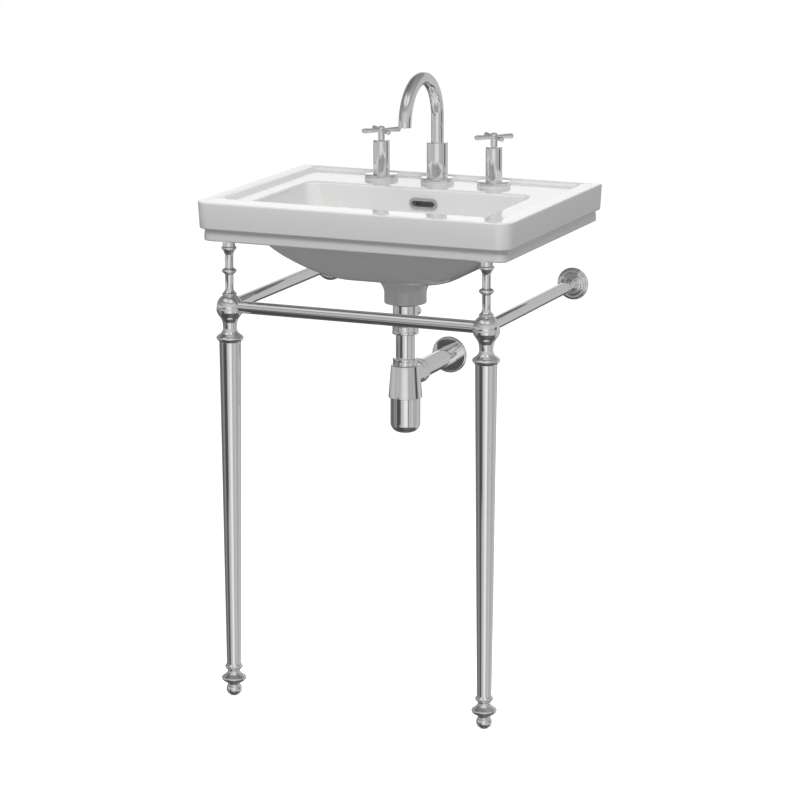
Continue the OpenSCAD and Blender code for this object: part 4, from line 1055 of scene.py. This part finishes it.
def show_white(tree, lit, shown, target):
    """Sends a white shader to camera, glossy and transmission rays, and the lit one to the rest."""
    path = tree.nodes.new("ShaderNodeLightPath")
    seen = path.outputs["Is Camera Ray"]
    for name in ("Is Glossy Ray", "Is Transmission Ray"):
        most = tree.nodes.new("ShaderNodeMath")
        most.operation = "MAXIMUM"
        tree.links.new(seen, most.inputs[0])
        tree.links.new(path.outputs[name], most.inputs[1])
        seen = most.outputs[0]
    mix = tree.nodes.new("ShaderNodeMixShader")
    tree.links.new(seen, mix.inputs[0])
    tree.links.new(lit, mix.inputs[1])
    tree.links.new(shown.outputs[0], mix.inputs[2])
    tree.links.new(mix.outputs[0], target)


def build_world():
    """Plain white behind the object, and a soft even light on it."""
    world = bpy.data.worlds.new("studio")
    bpy.context.scene.world = world
    world.use_nodes = True
    tree = world.node_tree
    back = tree.nodes["Background"]
    back.inputs["Color"].default_value = WHITE
    back.inputs["Strength"].default_value = AMBIENT
    shown = tree.nodes.new("ShaderNodeBackground")
    shown.inputs["Color"].default_value = WHITE
    show_white(tree, back.outputs[0], shown, tree.nodes["World Output"].inputs["Surface"])


def shade_at(profile, heading):
    """The grey of a profile at a heading, between its two nearest entries."""
    for (a, low), (b, high) in zip(profile, profile[1:]):
        if heading <= b:
            return low + (high - low) * (heading - a) / (b - a)
    return profile[-1][1]


def build_dome():
    """The studio as the chrome sees it: a far sphere with soft grey panels.

    Headings are degrees to the right of the camera's side, heights are degrees above level.
    """
    bm = bmesh.new()
    tone = bm.verts.layers.float_color.new("tone")
    rows = []
    for low, high in zip(DOME, DOME[1:]):
        steps = max(1, round((high[0] - low[0]) / DOME_STEP))
        for k in range(steps + (high is DOME[-1])):
            share = k / steps
            rise = math.radians(low[0] + (high[0] - low[0]) * share)
            row = []
            for heading in range(-FULL_TURN // 2, FULL_TURN // 2, DOME_STEP):
                a = math.radians(heading + CAMERA_YAW) - QUARTER
                spot = Vector((math.cos(rise) * math.cos(a), math.cos(rise) * math.sin(a),
                               math.sin(rise)))
                vert = bm.verts.new(DOME_CENTRE + spot * DOME_REACH)
                grey = shade_at(low[1], heading) * (1 - share) + shade_at(high[1], heading) * share
                vert[tone] = (grey, grey, grey, 1)
                row.append(vert)
            rows.append(row)
    skin(bm, rows)
    dome = place_mesh("dome", bm)
    mat = bpy.data.materials.new("dome")
    mat.use_nodes = True
    tree = mat.node_tree
    glow = tree.nodes.new("ShaderNodeEmission")
    grey = tree.nodes.new("ShaderNodeAttribute")
    grey.attribute_name = "tone"
    tree.links.new(grey.outputs["Color"], glow.inputs["Color"])
    tree.links.new(glow.outputs[0], tree.nodes["Material Output"].inputs["Surface"])
    dome.data.materials.append(mat)
    dome.visible_camera = False
    dome.visible_diffuse = False
    dome.visible_shadow = False
    dome.visible_transmission = False


def build_lamp():
    """A soft square lamp above the front, left out of the mirror images."""
    data = bpy.data.lights.new("key_lamp", "AREA")
    data.shape = "RECTANGLE"
    data.size = data.size_y = LAMP_SIZE
    data.energy = LAMP_WATTS
    lamp = bpy.data.objects.new("key_lamp", data)
    lamp.location = LAMP_PLACE
    aim = Vector(LAMP_TARGET) - Vector(LAMP_PLACE)
    lamp.rotation_euler = aim.to_track_quat("-Z", "Y").to_euler()
    bpy.context.scene.collection.objects.link(lamp)
    lamp.visible_glossy = False


# The studio's greys by heading, at a few heights. The two for plates are what the wall flanges and
# the trap's cover plate mirror.
LEVEL_LEFT = [
    (-180, 0.10), (-166, 0.12), (-150, 0.24), (-128, 0.15), (-112, 0.13), (-98, 0.25), (-84, 0.28),
    (-74, 0.15), (-66, 0.07),
]
LEVEL_RIGHT = [
    (-32, 0.50), (-18, 0.62), (0, 0.92), (16, 0.84), (20, 0.38), (25, 0.38), (30, 0.60),
    (40, 0.46), (54, 0.62), (64, 0.48), (76, 0.42), (100, 0.48), (116, 0.56), (145, 0.52),
    (151, 0.10), (180, 0.10),
]
LEVEL = LEVEL_LEFT + [(-52, 0.09), (-47, 0.38)] + LEVEL_RIGHT
LEVEL_PLATES = LEVEL_LEFT + [(-39, 0.09), (-35, 0.40)] + LEVEL_RIGHT
LOW = [
    (-180, 0.14), (-110, 0.08), (-80, 0.07), (-40, 0.07), (-10, 0.12), (30, 0.14), (80, 0.10),
    (180, 0.14),
]
LIGHT_LEFT = [(-180, 0.46), (-150, 0.32), (-130, 0.42), (-110, 0.55), (-60, 0.50)]
LIGHT_RIGHT = [
    (-28, 0.62), (-12, 0.78), (10, 0.78), (22, 0.50), (54, 0.44), (70, 0.50), (77, 0.14),
    (88, 0.04), (97, 0.30), (106, 0.56), (150, 0.52), (180, 0.46),
]
LIGHT = LIGHT_LEFT + [(-36, 0.48)] + LIGHT_RIGHT
PLATES = LIGHT_LEFT + [(-57, 0.08), (-39, 0.09), (-35, 0.48)] + LIGHT_RIGHT
RAISED_SPAN = [
    (-150, 0.30), (-120, 0.24), (-90, 0.30), (-62, 0.44), (-40, 0.52), (-20, 0.62), (0, 0.64),
    (20, 0.58), (50, 0.54), (90, 0.50), (150, 0.52),
]
RAISED = [(-180, 0.46)] + RAISED_SPAN + [(180, 0.46)]
WINDOW = (
    [(-180, 1.1), (-174, 1.1), (-170, 0.42)] + RAISED_SPAN + [(170, 0.50), (174, 1.1), (180, 1.1)]
)
VEIL = [(-180, 0.24), (-100, 0.24), (-60, 0.30), (-20, 0.42), (40, 0.40), (100, 0.34), (180, 0.24)]
PANEL = [
    (-180, 0.20), (-160, 0.14), (-108, 0.14), (-90, 0.56), (-60, 0.80), (-40, 0.74), (-12, 0.50),
    (0, 0.85), (30, 0.85), (44, 0.40), (90, 0.34), (180, 0.24),
]
ZENITH = [(-180, 0.20), (180, 0.20)]
DOME = [
    (-90, LOW), (-41, LOW), (-37, LEVEL), (-17, LEVEL), (-16, LEVEL_PLATES),
    (-11.4, LEVEL_PLATES), (-9.8, PLATES), (-8.6, PLATES), (-7.6, LIGHT), (2, LIGHT), (5, RAISED),
    (6, WINDOW), (13, WINDOW), (15, RAISED), (26, RAISED), (31, VEIL), (39, VEIL), (44, PANEL),
    (60, PANEL), (68, VEIL), (90, ZENITH),
]


dress_nodes()
build_basin()
for side in ("left", "right"):
    build_leg(side)
build_front_rail()
build_trap()
build_tap("hot", "hot_control")
build_tap("cold", "cold_control")
build_spout()
build_overflow_ring()
build_floor()
build_world()
build_dome()
build_lamp()
build_camera()
bpy.context.scene.view_settings.view_transform = "Standard"
